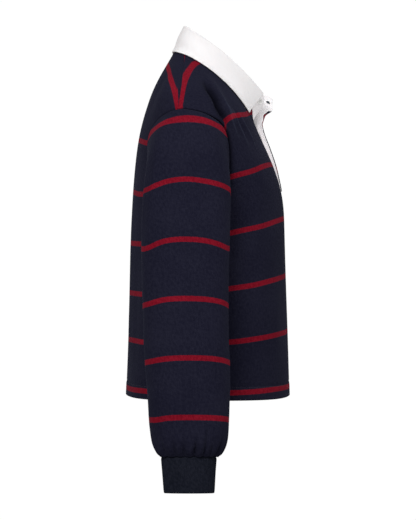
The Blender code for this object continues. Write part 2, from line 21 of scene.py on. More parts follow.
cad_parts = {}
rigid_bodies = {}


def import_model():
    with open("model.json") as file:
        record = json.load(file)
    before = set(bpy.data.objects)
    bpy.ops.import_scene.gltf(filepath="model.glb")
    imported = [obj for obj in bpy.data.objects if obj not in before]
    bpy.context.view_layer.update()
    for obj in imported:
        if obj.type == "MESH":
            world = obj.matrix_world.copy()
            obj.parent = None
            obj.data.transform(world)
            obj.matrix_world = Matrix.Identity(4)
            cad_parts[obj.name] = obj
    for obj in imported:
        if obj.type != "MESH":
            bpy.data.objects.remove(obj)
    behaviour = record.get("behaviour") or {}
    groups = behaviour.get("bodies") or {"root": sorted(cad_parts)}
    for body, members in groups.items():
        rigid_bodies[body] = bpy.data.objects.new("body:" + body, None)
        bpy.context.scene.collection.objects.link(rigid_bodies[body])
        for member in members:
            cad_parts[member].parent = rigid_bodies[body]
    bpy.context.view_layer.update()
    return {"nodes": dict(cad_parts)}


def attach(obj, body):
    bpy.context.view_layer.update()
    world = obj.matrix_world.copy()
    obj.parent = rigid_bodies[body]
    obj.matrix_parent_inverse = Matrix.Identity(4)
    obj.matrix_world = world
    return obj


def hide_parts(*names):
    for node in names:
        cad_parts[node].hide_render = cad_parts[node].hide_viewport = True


# ---------------------------------------------------------------- cloth and sewing
JERSEY, TWILL, RIB_WALL = 0.0016, 0.0015, 0.0020
SEAM_GAP, SEWN_GAP = 0.0003, 0.0001
STRIPE_PITCH, STRIPE_WIDTH = 0.0875, 0.0077
HEM_HEIGHT, HEM_LAYER = 0.0200, 0.0009

# ---------------------------------------------------------------- placket
SLOT_TOP, SLOT_FOOT = 0.0300, 0.0165
PLACKET_BOTTOM = -0.205
FACING_GAP, PLACKET_LAYER, THIN_BULGE = 0.0003, 0.0010, 0.0003
UNDER_DEPTH, UNDER_TUCK, UNDER_FOOT = JERSEY + 0.0009, 0.0040, 0.0040
PLACKET_WIDTH, FACING_INSET = 0.0340, 0.0032
CORNER_RADIUS, TOP_SLOPE = 0.0140, 0.20
Corner = namedtuple("Corner", "push reach")
CORNERS = {1: Corner(0.008, 0.070), -1: Corner(0.006, 0.040)}
CORNER_Z = -0.060
# How each placket leaves its seam, from the neckline down: height of the seam, then its angle
# off the body there and how much further it has turned at its free edge, in degrees.
OVER_SWING = (
    (-0.057, 54, 66),
    (-0.069, 48, 76),
    (-0.081, 30, 62),
    (-0.092, 11, 36),
    (-0.106, 1, 27),
    (-0.138, 1, 20),
    (-0.165, 2, 9),
    (-0.190, 2, 0),
    (-0.203, 0.5, 0),
    (-0.210, 0.5, 0),
)
UNDER_SWING = (
    (-0.057, 60, -6),
    (-0.075, 42, -6),
    (-0.086, 24, -8),
    (-0.096, 8, -10),
    (-0.108, 1, -8),
    (-0.120, -1, -7),
    (-0.210, -1, -5),
)

# ---------------------------------------------------------------- cuffs
CUFF_RIBS, RIB_DEPTH = 108, 0.00035
GATHERS, GATHER_DEPTH = 20, 0.0036
GATHERS_START, GATHERS_FULL, GATHERS_SEWN, GATHERS_KEPT = 0.915, 0.984, 1.0, 0.48
CuffRing = namedtuple("CuffRing", "drop half_out half_y back_y")
CUFF_RINGS = (
    CuffRing(0.000, 0.0300, 0.0393, 0.0318),
    CuffRing(0.020, 0.0298, 0.0376, 0.0300),
    CuffRing(0.051, 0.0288, 0.0355, 0.0275),
)

# ---------------------------------------------------------------- the body, ring by ring
# front_z side_z back_z half_width front_y seam_y back_y fullness, from the hem up
BODY_RINGS = (
    (-0.524, -0.521, -0.5225, 0.2060, -0.1630, -0.030, 0.0940, 0.14),
    (-0.430, -0.430, -0.4300, 0.2040, -0.1603, -0.029, 0.0907, 0.14),
    (-0.340, -0.342, -0.3400, 0.1990, -0.1573, -0.028, 0.0885, 0.14),
    (-0.262, -0.275, -0.2620, 0.1885, -0.1552, -0.026, 0.0865, 0.13),
    (-0.212, -0.222, -0.2060, 0.1900, -0.1512, -0.021, 0.0832, 0.11),
    (-0.163, -0.175, -0.1560, 0.1960, -0.1365, -0.015, 0.0788, 0.09),
    (-0.122, -0.130, -0.1080, 0.2020, -0.1182, -0.006, 0.0710, 0.06),
    (-0.098, -0.089, -0.0700, 0.2050, -0.1080, 0.003, 0.0600, 0.04),
    (-0.0875, -0.064, -0.0480, 0.1860, -0.1045, 0.003, 0.0520, 0.02),
    (-0.080, -0.039, -0.0240, 0.1500, -0.1030, 0.003, 0.0405, 0.0),
    (-0.0745, -0.016, -0.0010, 0.1120, -0.1015, 0.002, 0.0275, 0.0),
    (-0.070, 0.008, 0.0256, 0.0740, -0.1005, 0.000, 0.0126, 0.0),
)
HALF_WIDTH, FULLNESS = 3, 7  # columns of the table

# The armhole seam's y and z, from the shoulder round the front to the back.
ARMHOLE = (
    (0.0030, -0.0890),
    (-0.0238, -0.0935),
    (-0.0445, -0.1027),
    (-0.0580, -0.1150),
    (-0.0642, -0.1330),
    (-0.0655, -0.1650),
    (-0.0620, -0.2080),
    (-0.0480, -0.2500),
    (-0.0240, -0.2740),
    (0.0080, -0.2640),
    (0.0360, -0.2330),
    (0.0520, -0.1880),
    (0.0562, -0.1500),
    (0.0535, -0.1220),
    (0.0400, -0.1035),
    (0.0215, -0.0930),
)
UNDERARM = 8

# Where each stripe lies on the body: pairs of degrees from the centre front and height.
FRONT_STRIPES = {
    -1: ((0, 0.095), (75, 0.064), (85, 0.041), (90, 0.0262)),
    0: ((0, 0.011), (60, 0.002), (78, -0.0103), (83, -0.0192), (85, -0.0270), (87, -0.0360),
        (88, -0.0425), (89, -0.0515), (89.6, -0.0590), (90.4, -0.0705), (92.2, -0.0855),
        (97, -0.122)),
    1: ((0, -0.0790), (16, -0.0834), (30, -0.0902), (46, -0.0959), (54, -0.1013), (59, -0.113),
        (63, -0.130), (67, -0.142), (90, -0.165)),
    2: ((0, -0.1628), (21, -0.1657), (34, -0.1700), (50, -0.1794), (67, -0.1886), (90, -0.205)),
    3: ((0, -0.2472), (6, -0.2474), (19, -0.2494), (33, -0.2538), (50, -0.2618), (67, -0.2694),
        (90, -0.283)),
    4: ((0, -0.3366), (8, -0.3368), (25, -0.3389), (43, -0.3439), (60, -0.3505), (73, -0.3545),
        (90, -0.361)),
    5: ((0, -0.4228), (29, -0.4240), (51, -0.4282), (74, -0.4336), (90, -0.4355)),
    6: ((0, -0.5085), (17, -0.5074), (40, -0.5066), (60, -0.5078), (90, -0.509)),
    7: ((0, -0.596), (90, -0.596)),
}
BACK_STRIPES = {
    -1: ((90, 0.0262), (98, 0.042), (110, 0.059), (150, 0.076), (180, 0.080)),
    0: ((90, -0.119), (95, -0.1000), (97.6, -0.0890), (99.4, -0.0790), (105, -0.0617),
        (116, -0.0419), (131, -0.0246), (160, -0.0072), (172, -0.0030), (180, -0.0025)),
    1: ((90, -0.165), (120, -0.145), (149, -0.1329), (160, -0.1287), (172, -0.1260),
        (180, -0.1256)),
    2: ((90, -0.205), (120, -0.214), (146, -0.2126), (163, -0.2078), (174, -0.2062),
        (180, -0.2060)),
    3: ((90, -0.283), (120, -0.2885), (142, -0.2882), (166, -0.2861), (180, -0.2855)),
    4: ((90, -0.361), (120, -0.3645), (141, -0.3641), (160, -0.3629), (180, -0.3622)),
    5: ((90, -0.4355), (136, -0.4356), (156, -0.4347), (180, -0.435)),
    6: ((90, -0.509), (134, -0.5085), (152, -0.5092), (180, -0.5094)),
    7: ((90, -0.596), (180, -0.596)),
}
# On the sleeve: the share of the way down on its outer line, how far up the stripe has moved
# under the arm, how late it turns up, and how much it sags towards the back.
SleeveStripe = namedtuple("SleeveStripe", "number down rise late sag")
SLEEVE_STRIPES = (
    SleeveStripe(-1, -0.085, 0.40, 1.1, 0),
    SleeveStripe(0, 0.0895, 0.37, 1.1, 0),
    SleeveStripe(1, 0.2533, 0.25, 1.54, 0.0080),
    SleeveStripe(2, 0.4015, 0.28, 3.0, 0.0062),
    SleeveStripe(3, 0.5588, 0.05, 4.0, 0.0048),
    SleeveStripe(4, 0.7237, 0.0, 1.0, 0.0028),
    SleeveStripe(5, 0.8880, 0.0, 1.0, 0.0040),
    SleeveStripe(6, 1.052, 0.0, 1.0, 0.0020),
)
SAG_TURN, SAG_REACH = math.radians(-52), math.radians(20)
TOP_STRIPE_SPREAD = 0.75

# ---------------------------------------------------------------- the sleeve
Section = namedtuple("Section", "outer_x outer_z inner_x inner_z front_y back_y")
SLEEVE_SECTIONS = (
    Section(0.2250, -0.1108, 0.1935, -0.284, -0.0670, 0.0575),
    Section(0.2460, -0.141, 0.1975, -0.292, -0.0682, 0.0598),
    Section(0.2620, -0.186, 0.2010, -0.302, -0.0677, 0.0615),
    Section(0.2745, -0.235, 0.2045, -0.317, -0.0668, 0.0622),
    Section(0.2845, -0.281, 0.2085, -0.337, -0.0657, 0.0620),
    Section(0.2945, -0.330, 0.2135, -0.368, -0.0648, 0.0610),
    Section(0.3065, -0.390, 0.2200, -0.416, -0.0646, 0.0585),
    Section(0.3190, -0.452, 0.2280, -0.474, -0.0652, 0.0548),
    Section(0.3300, -0.512, 0.2385, -0.529, -0.0656, 0.0510),
    Section(0.3355, -0.551, 0.2475, -0.565, -0.0632, 0.0478),
    Section(0.3340, -0.5758, 0.2575, -0.5848, -0.0565, 0.0412),
    Section(0.3265, -0.5895, 0.2660, -0.5955, -0.0482, 0.0326),
)
SLEEVE_FULLNESS = 0.08

# ---------------------------------------------------------------- the collar
# neck_angle, then the fold and the edge of the leaf, from the centre back to the front end
COLLAR_TURNS = (
    (180, 0.0000, 0.0023, 0.0559, 0.0000, 0.0200, 0.0147),
    (148, 0.0340, 0.0000, 0.0530, 0.0480, 0.0150, 0.0095),
    (115, 0.0580, -0.0110, 0.0440, 0.0830, 0.0000, -0.0010),
    (86, 0.0680, -0.0300, 0.0302, 0.0990, -0.0260, -0.0165),
    (62, 0.0665, -0.0580, 0.0095, 0.1000, -0.0510, -0.0385),
    (42, 0.0530, -0.0870, -0.0160, 0.0930, -0.0760, -0.0630),
    (25, 0.0360, -0.1065, -0.0360, 0.0862, -0.0883, -0.0782),
    (13, 0.0200, -0.1196, -0.0500, 0.0780, -0.0950, -0.0872),
)
LEFT_END = (13, 0.0310, -0.1130, -0.0460, 0.0780, -0.0968, -0.0872)
NECK_CENTRE_Y, STAND_RISE, UNDER_COLLAR = -0.045, 0.0012, 0.7
FOLD_RADIUS, LEAF_BULGE, LEAF_CLEARANCE = 0.0028, 0.0020, TWILL + 0.0018
FOLD_ANGLES = (180, 130, 90, 50, 0)

# ---------------------------------------------------------------- mesh density
# The solids' own rows: up the side seam, the armhole and the shoulder, and above the slot's foot.
SEAM_ROWS, ARMHOLE_ROWS, SHOULDER_ROWS, SLOT_ROWS = 8, 20, 4, 17
PANEL_ROWS = SEAM_ROWS + ARMHOLE_ROWS + SHOULDER_ROWS
FOOT_ROW = PANEL_ROWS - SLOT_ROWS
ROW_BEND = 1.6
LOOP_STEPS = 480
SHOULDER_BACK = 7  # steps of the armhole by which the shoulder seam ends further back
# Stops of a fine row or column, and the steps that lead up to each.
ROW_STOPS = ((0.05, 0), (1.3, 16), (FOOT_ROW, 68), (PANEL_ROWS, 96))
COLUMN_STOPS = ((0, 0), (0.04, 4), (0.50, 30), (0.95, 54), (1, 10))
DOWN_STOPS = ((0, 0), (0.035, 14), (0.85, 84), (0.97, 24), (1, 12))
AROUND_SLEEVE = 240
PLACKET_STEPS = 26
COLLAR_STEPS = 26
STAND_STEPS, LEAF_STEPS = 3, 4


# ---------------------------------------------------------------- maths
def spline(knots, rows):
    """A natural cubic spline through the rows, as a function of the knots' parameter."""
    knots, rows = np.asarray(knots, float), np.asarray(rows, float)
    span, count = np.diff(knots), len(knots)
    system, right = np.eye(count), np.zeros_like(rows)
    for i in range(1, count - 1):
        system[i, i - 1 : i + 2] = span[i - 1], 2 * (span[i - 1] + span[i]), span[i]
        rise, fall = rows[i + 1] - rows[i], rows[i] - rows[i - 1]
        right[i] = 6 * (rise / span[i] - fall / span[i - 1])
    bend = np.linalg.solve(system, right.reshape(count, -1)).reshape(rows.shape)

    def at(parameter):
        where = np.clip(np.asarray(parameter, float), knots[0], knots[-1])
        i = np.clip(np.searchsorted(knots, where) - 1, 0, count - 2)
        extra = (1,) * (rows.ndim - 1)
        h = span[i].reshape(i.shape + extra)
        b = (where - knots[i]).reshape(i.shape + extra) / h
        a = 1 - b
        curve = (a**3 - a) * bend[i] + (b**3 - b) * bend[i + 1]
        return a * rows[i] + b * rows[i + 1] + curve * h**2 / 6

    return at


def eased(pairs, at):
    """A smooth curve through pairs of position and value that never overshoots them."""
    knots, values = np.array(pairs, float).T
    span = np.diff(knots)
    slope = np.diff(values) / span
    before, after = slope[:-1], slope[1:]
    level = before * after <= 0
    inner = np.where(level, 0, 2 * before * after / np.where(level, 1, before + after))
    lean = np.concatenate([slope[:1], inner, slope[-1:]])
    i = np.clip(np.searchsorted(knots, at) - 1, 0, len(span) - 1)
    h = span[i]
    t = np.clip((at - knots[i]) / h, 0, 1)
    start = (1 + 2 * t) * (1 - t) ** 2 * values[i] + t * (1 - t) ** 2 * h * lean[i]
    return start + t * t * (3 - 2 * t) * values[i + 1] + t * t * (t - 1) * h * lean[i + 1]


def smooth(x):
    """0 to 1 with flat ends."""
    x = np.clip(x, 0, 1)
    return x * x * (3 - 2 * x)


def within(value, low, high, low_fade, high_fade):
    """1 well between low and high, fading to 0 at each of them."""
    return smooth((value - low) / low_fade) * smooth((high - value) / high_fade)


def bell(away, width):
    """1 at nought, falling away on both sides."""
    return np.exp(-((away / width) ** 2))


def distances(points):
    """Running length along a list of points, or down each column of a grid."""
    steps = np.linalg.norm(np.diff(points, axis=0), axis=-1)
    return np.concatenate([np.zeros_like(steps[:1]), np.cumsum(steps, axis=0)])


def lengths_across(grid):
    """Running length along each row of a grid."""
    return distances(np.swapaxes(grid, 0, 1)).T


def sampled(points, along, wanted):
    """The points of a line at wanted lengths along it."""
    return np.stack([np.interp(wanted, along, axis) for axis in points.T], axis=1)


def unit(vectors):
    return vectors / np.linalg.norm(vectors, axis=-1, keepdims=True)


def mirror(side):
    """What turns the left side's points into those of a side."""
    return np.array([side, 1, 1])


def full_turn(count):
    """Equal turns all the way round a tube."""
    return np.linspace(-math.pi, math.pi, count, endpoint=False)


def closed_up(ring):
    """A tube's grid with its first column again after its last."""
    return np.concatenate([ring, ring[:, :1]], axis=1)


def steps_through(stops):
    """Positions from stop to stop, in equal steps between two of them."""
    parts = [[stops[0][0]]]
    for (start, _), (end, count) in zip(stops, stops[1:]):
        parts.append(np.linspace(start, end, count + 1)[1:])
    return np.concatenate(parts)


def refined(grid, rows, columns):
    """A finer grid on a smooth surface through all the points of a coarse one."""
    down = spline(np.arange(grid.shape[0]), grid)(rows)
    across = spline(np.arange(grid.shape[1]), np.swapaxes(down, 0, 1))(columns)
    return np.swapaxes(across, 0, 1)


# ---------------------------------------------------------------- body surface
def rings_by_length():
    """The body's rings by the share of the way up, measured along its front, sides and back."""
    rings = np.array(BODY_RINGS)
    along = sum(distances(rings[:, pair]) for pair in ((5, 1), (4, 0), (6, 2)))
    return spline(along / along[-1], BODY_RINGS)


body_ring = rings_by_length()


def body(angle, height):
    """The body's outer face. angle is 0 at the centre front, +90 degrees at the left side."""
    angle, height = np.broadcast_arrays(angle, height)
    ring = np.moveaxis(body_ring(height), -1, 0)
    front_z, side_z, back_z, half_width, front_y, seam_y, back_y, fullness = ring
    s, c = np.sin(angle), np.cos(angle)
    reach = np.where(c > 0, seam_y - front_y, back_y - seam_y)
    top = np.where(c > 0, front_z, back_z)
    x = half_width * s * (1 + fullness * c * c)
    y = seam_y - reach * c * (1 + fullness * s * s)
    z = side_z + (top - side_z) * c * c
    point = np.stack([x, y, z], axis=-1)
    for side, corner in CORNERS.items():
        away = np.hypot(x - side * SLOT_TOP, z - CORNER_Z) / corner.reach
        near = smooth(1 - away) * smooth(0.5 + side * x / SLOT_TOP) * (c > 0)
        point[..., 1] -= corner.push * near
    return point


def body_normal(angle, height, step=1e-4):
    """The way out of the body's face."""
    around = body(angle + step, height) - body(angle - step, height)
    up = body(angle, np.minimum(height + step, 1)) - body(angle, height - step)
    return unit(np.cross(around, up))


# The armhole is found on the body step by step from a guess near the shoulder.
LOOP_GUESS = (math.radians(88), 0.72)
LOOP_TRIES, LOOP_STEP, LARGEST_MOVE, LOOP_NEAR = 12, 1e-5, 0.1, 1e-7


def armhole_loop():
    """(angle, height) all round the left armhole, closed, and how far round the underarm is."""
    points = np.array(ARMHOLE + ARMHOLE[:1])
    knots = distances(points)
    fine = spline(knots, points)(np.linspace(0, knots[-1], LOOP_STEPS + 1))
    place, found = np.array(LOOP_GUESS), []
    for target in fine:
        for _ in range(LOOP_TRIES):
            here = body(*place)[1:]
            turned = (body(place[0] + LOOP_STEP, place[1])[1:] - here) / LOOP_STEP
            raised = (body(place[0], place[1] + LOOP_STEP)[1:] - here) / LOOP_STEP
            slopes = np.stack([turned, raised], axis=1)
            move = np.linalg.solve(slopes, target - here)
            place = place + np.clip(move, -LARGEST_MOVE, LARGEST_MOVE)
            place[1] = min(max(place[1], 0), 1)
            if np.abs(target - here).max() < LOOP_NEAR:
                break
        found.append(place)
    return np.array(found), int(round(LOOP_STEPS * knots[UNDERARM] / knots[-1]))


ARMHOLE_LOOP, ARMHOLE_LOW = armhole_loop()


def armhole_half(front, shares, back=0):
    """(angle, height) at shares of the way from the underarm up to the shoulder, set back."""
    loop = np.concatenate([ARMHOLE_LOOP[-1 - back : -1], ARMHOLE_LOOP[: LOOP_STEPS + 1 - back]])
    half = loop[: ARMHOLE_LOW + back + 1][::-1] if front else loop[ARMHOLE_LOW + back :]
    along = distances(body(half[:, 0], half[:, 1]))
    return sampled(half, along, np.asarray(shares) * along[-1])


def panel_edge(front, rows):
    """(angle, height) up the edge of a front or back: side seam, armhole, shoulder seam."""
    low, high = armhole_half(front, [0, 1], SHOULDER_BACK)
    share = np.clip((rows - SEAM_ROWS) / ARMHOLE_ROWS, 0, 1)
    edge = armhole_half(front, share, SHOULDER_BACK)
    for from_row, to_row, start, end in (
        (0, SEAM_ROWS, (math.pi / 2, 0), low),
        (SEAM_ROWS + ARMHOLE_ROWS, PANEL_ROWS, high, (math.pi / 2, 1)),
    ):
        on = (rows >= from_row) & (rows <= to_row)
        along = ((rows - from_row) / (to_row - from_row))[:, None]
        edge = np.where(on[:, None], np.array(start) * (1 - along) + np.array(end) * along, edge)
    return edge


FINE_HEIGHTS = np.linspace(0, 1, 401)
SLOT_START = float(np.interp(PLACKET_BOTTOM, body(0.0, FINE_HEIGHTS)[:, 2], FINE_HEIGHTS))


def centre_heights(rows):
    """The heights of a panel's rows at the centre front or back."""
    above = SLOT_START + (1 - SLOT_START) * (rows - FOOT_ROW) / SLOT_ROWS
    return np.where(rows < FOOT_ROW, SLOT_START * rows / FOOT_ROW, above)


def slot_angle(height):
    """The angle of the slot's left edge at each height."""
    half = SLOT_FOOT + (SLOT_TOP - SLOT_FOOT) * smooth((height - SLOT_START) / (1 - SLOT_START))
    ring = body_ring(height)
    return np.arcsin(half / (ring[..., HALF_WIDTH] * (1 + ring[..., FULLNESS])))


def at_height(degrees, z):
    """The body's point at a heading and height."""
    column = body(math.radians(degrees), FINE_HEIGHTS)
    return sampled(column, column[:, 2], [z])[0]


def stripe_number(angle, z, front):
    """How many stripes down a point of the body lies."""
    table = FRONT_STRIPES if front else BACK_STRIPES
    degrees, first = np.degrees(np.abs(angle)), min(table)
    lines = [eased(table[n], degrees) for n in sorted(table)]
    number = np.full(z.shape, float(first))
    for k, (above, below) in enumerate(zip(lines, lines[1:])):
        share = (above - z) / (above - below)
        number = np.where(share > 0, first + k + share, number)
    return number


# ---------------------------------------------------------------- walls
def nowhere(row, column):
    return False


def grid_cells(rows, columns, closed, skip):
    """The (row, column) corners of each cell of a grid."""
    last = columns if closed else columns - 1
    return [
        ((row, column), (row, column + 1), (row + 1, column + 1), (row + 1, column))
        for row in range(rows - 1)
        for column in range(last)
        if not skip(row, column)
    ]


def new_object(name, data):
    made = bpy.data.objects.new(name, data)
    bpy.context.scene.collection.objects.link(made)
    return made


def new_mesh(name, points=(), edges=(), faces=()):
    mesh = bpy.data.meshes.new(name)
    mesh.from_pydata(np.array(points, float).tolist(), edges, faces)
    return mesh


@contextmanager
def edited(mesh):
    """The mesh opened for bmesh operations, and written back after them."""
    work = bmesh.new()
    work.from_mesh(mesh)
    yield work
    work.to_mesh(mesh)
    work.free()


def finished(name, mesh, finish):
    """The mesh as an object, smooth, with its faces turned outwards."""
    with edited(mesh) as work:
        bmesh.ops.recalc_face_normals(work, faces=work.faces)
    mesh.shade_smooth()
    mesh.materials.clear()
    mesh.materials.append(finish)
    return new_object(name, mesh)


def wall(name, outer, inner, cloth, finish,
         closed=False, bulge=0.0005, skip=nowhere, stripes=None, shade=None):
    """A closed wall between two matching grids, its rims rounded out by bulge.

    cloth, stripes and shade are each grid point's values in the UV maps, with one more column
    than the points where closed. Cells are left out where skip says so.
    """
    rows, columns = outer.shape[:2]
    count = rows * columns
    cells = grid_cells(rows, columns, closed, skip)

    def vertex(corner):
        return corner[0] * columns + corner[1] % columns

    sides = {}
    middle_sum, touching = np.zeros((count, 3)), np.zeros(count)
    flat = outer.reshape(-1, 3)
    for cell in cells:
        corners = [vertex(c) for c in cell]
        middle = flat[corners].mean(axis=0)
        for k, corner in enumerate(corners):
            middle_sum[corner] += middle
            touching[corner] += 1
            sides[corner, corners[(k + 1) % 4]] = (cell[k], cell[(k + 1) % 4])
    rim = [(side, corners) for side, corners in sides.items() if side[::-1] not in sides]
    on_rim = sorted({v for side, _ in rim for v in side})
    rim_index = {v: 2 * count + k for k, v in enumerate(on_rim)}
    inside = middle_sum[on_rim] / touching[on_rim][:, None]
    behind = inner.reshape(-1, 3)
    half = (flat[on_rim] + behind[on_rim]) / 2
    across = unit(behind[on_rim] - flat[on_rim])
    away = flat[on_rim] - inside
    away = unit(away - across * (away * across).sum(axis=1, keepdims=True))
    points = np.concatenate([flat, behind, half + away * bulge])
    faces, uvs = [], []
    for cell in cells:
        corners = [vertex(c) for c in cell]
        faces += [tuple(corners), tuple(count + v for v in reversed(corners))]
        uvs += [cell, cell[::-1]]
    for (a, b), (at_a, at_b) in rim:
        middle_a, middle_b = rim_index[a], rim_index[b]
        faces += [(b, a, middle_a, middle_b), (middle_b, middle_a, count + a, count + b)]
        uvs += [(at_b, at_a, at_a, at_b)] * 2
    mesh = new_mesh(name, points, faces=faces)
    wide = cloth.shape[1]
    lookup = np.array([[row * wide + column for row, column in face] for face in uvs]).ravel()
    if shade is None:
        shade = np.zeros_like(cloth)
    for layer_name, values in (("cloth", cloth), ("stripes", stripes), ("shade", shade)):
        if values is not None:
            layer = mesh.uv_layers.new(name=layer_name)
            layer.data.foreach_set("uv", values.reshape(-1, 2)[lookup].astype(np.float32).ravel())
    return finished(name, mesh, finish)


def grid_normals(grid, closed=False):
    """Normals of a grid of points, along its rows' direction crossed with its columns'."""
    if closed:
        across = np.roll(grid, -1, axis=1) - np.roll(grid, 1, axis=1)
    else:
        across = np.gradient(grid, axis=1)
    return unit(np.cross(across, np.gradient(grid, axis=0)))


LEAST_CROWDING, MOST_CROWDING, CROWDING_BLUR = 0.6, 9, 4


def crowded(points, number):
    """Each point's stripe number, and the stripes to a pitch of cloth there."""
    across, up = np.gradient(points, axis=1), np.gradient(points, axis=0)
    number_across, number_up = np.gradient(number, axis=1), np.gradient(number, axis=0)
    e, f, g = ((a * b).sum(axis=-1) for a, b in ((across, across), (across, up), (up, up)))
    slope = g * number_across**2 - 2 * f * number_across * number_up + e * number_up**2
    steep = np.sqrt(np.maximum(slope, 0) / np.maximum(e * g - f * f, 1e-18))
    crowding = np.clip(steep * STRIPE_PITCH, LEAST_CROWDING, MOST_CROWDING)
    return np.stack([number, blurred(crowding, CROWDING_BLUR)], axis=-1)


def blurred(values, times):
    """A grid of values with each one evened out with its neighbours."""
    for _ in range(times):
        edged = np.pad(values, 1, mode="edge")
        around_it = edged[:-2, 1:-1] + edged[2:, 1:-1] + edged[1:-1, :-2] + edged[1:-1, 2:]
        values = (2 * edged[1:-1, 1:-1] + around_it) / 6
    return values


def trim(line, inside):
    """The line drawn back along the cloth, to leave its half of a seam's gap."""
    return line + unit(inside - line) * SEWN_GAP / 2


# ---------------------------------------------------------------- soft folds
# A fold's height (below zero for a trough), half width, side, and the degrees and heights of the
# line it follows on the body.
Fold = namedtuple("Fold", "height width side line")
FRONT_FOLDS = (
    Fold(0.0028, 0.0040, -1, ((52, -0.0787), (47, -0.1014), (46, -0.1143), (45, -0.1279),
                              (44, -0.1500))),
    Fold(-0.0020, 0.0040, -1, ((48, -0.0800), (43, -0.1014), (41, -0.1200), (40, -0.1450))),
    Fold(0.0024, 0.0038, -1, ((43, -0.0833), (39, -0.1026), (36, -0.1219), (35, -0.1480))),
    Fold(0.0008, 0.0045, -1, ((54, -0.0690), (52, -0.0913), (51, -0.1124), (50, -0.1380))),
    Fold(0.0020, 0.0095, -1, ((74, -0.0260), (65, -0.0469), (60, -0.0621), (57, -0.0850))),
    Fold(-0.0085, 0.0050, -1, ((73, -0.0380), (67, -0.0618), (63, -0.0762), (61, -0.0884),
                               (58, -0.0999), (58, -0.1250))),
    Fold(0.0026, 0.0048, -1, ((62, -0.0573), (57, -0.0715), (53, -0.0854), (50, -0.0975),
                              (48, -0.1150))),
    Fold(-0.0066, 0.0054, 1, ((73, -0.0400), (67, -0.0620), (63, -0.0770), (60, -0.0900),
                              (58, -0.1020), (58, -0.1250))),
    Fold(-0.0010, 0.0110, -1, ((66, -0.0300), (57, -0.0500), (50, -0.0700), (46, -0.0900))),
    Fold(0.0012, 0.0130, -1, ((36, -0.1650), (46, -0.2100), (55, -0.2700), (60, -0.3300))),
    Fold(-0.0011, 0.0140, -1, ((60, -0.2850), (62, -0.3600), (63, -0.4500), (62, -0.5100))),
    Fold(0.0012, 0.0150, -1, ((34, -0.3000), (37, -0.4000), (36, -0.5200))),
    Fold(0.0013, 0.0045, 1, ((50, -0.0800), (45, -0.1030), (43, -0.1250), (42, -0.1500))),
    Fold(0.0009, 0.0040, 1, ((40, -0.0860), (36, -0.1050), (34, -0.1300), (34, -0.1500))),
    Fold(0.0019, 0.0100, 1, ((73, -0.0280), (64, -0.0480), (59, -0.0640), (56, -0.0860))),
    Fold(0.0016, 0.0140, 1, ((30, -0.1700), (38, -0.2300), (43, -0.3000), (45, -0.3700))),
    Fold(-0.0014, 0.0160, 1, ((58, -0.2800), (60, -0.3800), (60, -0.5100))),
    Fold(0.0014, 0.0160, 1, ((22, -0.3100), (25, -0.4200), (24, -0.5250))),
    Fold(-0.0013, 0.0150, -1, ((10, -0.2300), (13, -0.3500), (12, -0.5200))),
)
BACK_FOLDS = (
    Fold(0.0016, 0.0110, -1, ((118, 0.0000), (120, -0.0377), (129, -0.0750), (136, -0.1000))),
    Fold(-0.0012, 0.0120, -1, ((136, -0.0200), (141, -0.0631), (146, -0.1050))),
    Fold(0.0016, 0.0110, 1, ((119, -0.0020), (121, -0.0400), (131, -0.0800), (140, -0.1100))),
    Fold(-0.0012, 0.0130, 1, ((138, -0.0220), (144, -0.0700), (148, -0.1100))),
    Fold(0.0018, 0.0170, 1, ((160, -0.1800), (157, -0.3000), (158, -0.4200), (160, -0.5200))),
    Fold(-0.0016, 0.0150, 1, ((146, -0.2400), (143, -0.3600), (144, -0.5150))),
    Fold(0.0016, 0.0150, 1, ((126, -0.2700), (127, -0.3900), (126, -0.5150))),
    Fold(-0.0018, 0.0180, -1, ((176, -0.2000), (178, -0.3600), (176, -0.5200))),
    Fold(0.0017, 0.0170, -1, ((164, -0.1900), (161, -0.3300), (163, -0.5150))),
    Fold(-0.0014, 0.0150, -1, ((148, -0.2500), (146, -0.3800), (148, -0.5150))),
    Fold(0.0012, 0.0130, -1, ((128, -0.2900), (130, -0.4000), (129, -0.5150))),
)
# A sleeve fold's height, half width, and the turns in degrees and shares down of its line.
SLEEVE_FOLDS = (
    (0.0012, 0.0110, ((-30, 0.06), (-42, 0.18), (-50, 0.32))),
    (-0.0012, 0.0120, ((-58, 0.10), (-66, 0.24), (-70, 0.40))),
    (0.0012, 0.0090, ((62, 0.05), (70, 0.14), (74, 0.26))),
    (0.0020, 0.0100, ((120, 0.08), (135, 0.20), (150, 0.30))),
    (0.0022, 0.0100, ((-120, 0.12), (-138, 0.22), (-155, 0.31))),
    (0.0018, 0.0100, ((112, 0.42), (138, 0.48), (168, 0.50))),
    (-0.0016, 0.0100, ((118, 0.50), (142, 0.55), (170, 0.58))),
    (0.0018, 0.0100, ((-112, 0.46), (-140, 0.52), (-168, 0.55))),
    (0.0012, 0.0160, ((20, 0.60), (26, 0.74), (24, 0.88))),
    (-0.0012, 0.0150, ((-28, 0.58), (-24, 0.74), (-20, 0.90))),
    (0.0014, 0.0110, ((78, 0.62), (84, 0.74), (82, 0.86))),
    (0.0014, 0.0110, ((-84, 0.56), (-80, 0.70), (-76, 0.84))),
)
SLEEVE_RADIUS, SLEEVE_LENGTH = 0.064, 0.50
FOLD_POINTS, FOLD_FADE = 48, 0.35  # along a fold, and the share of it that fades at each end


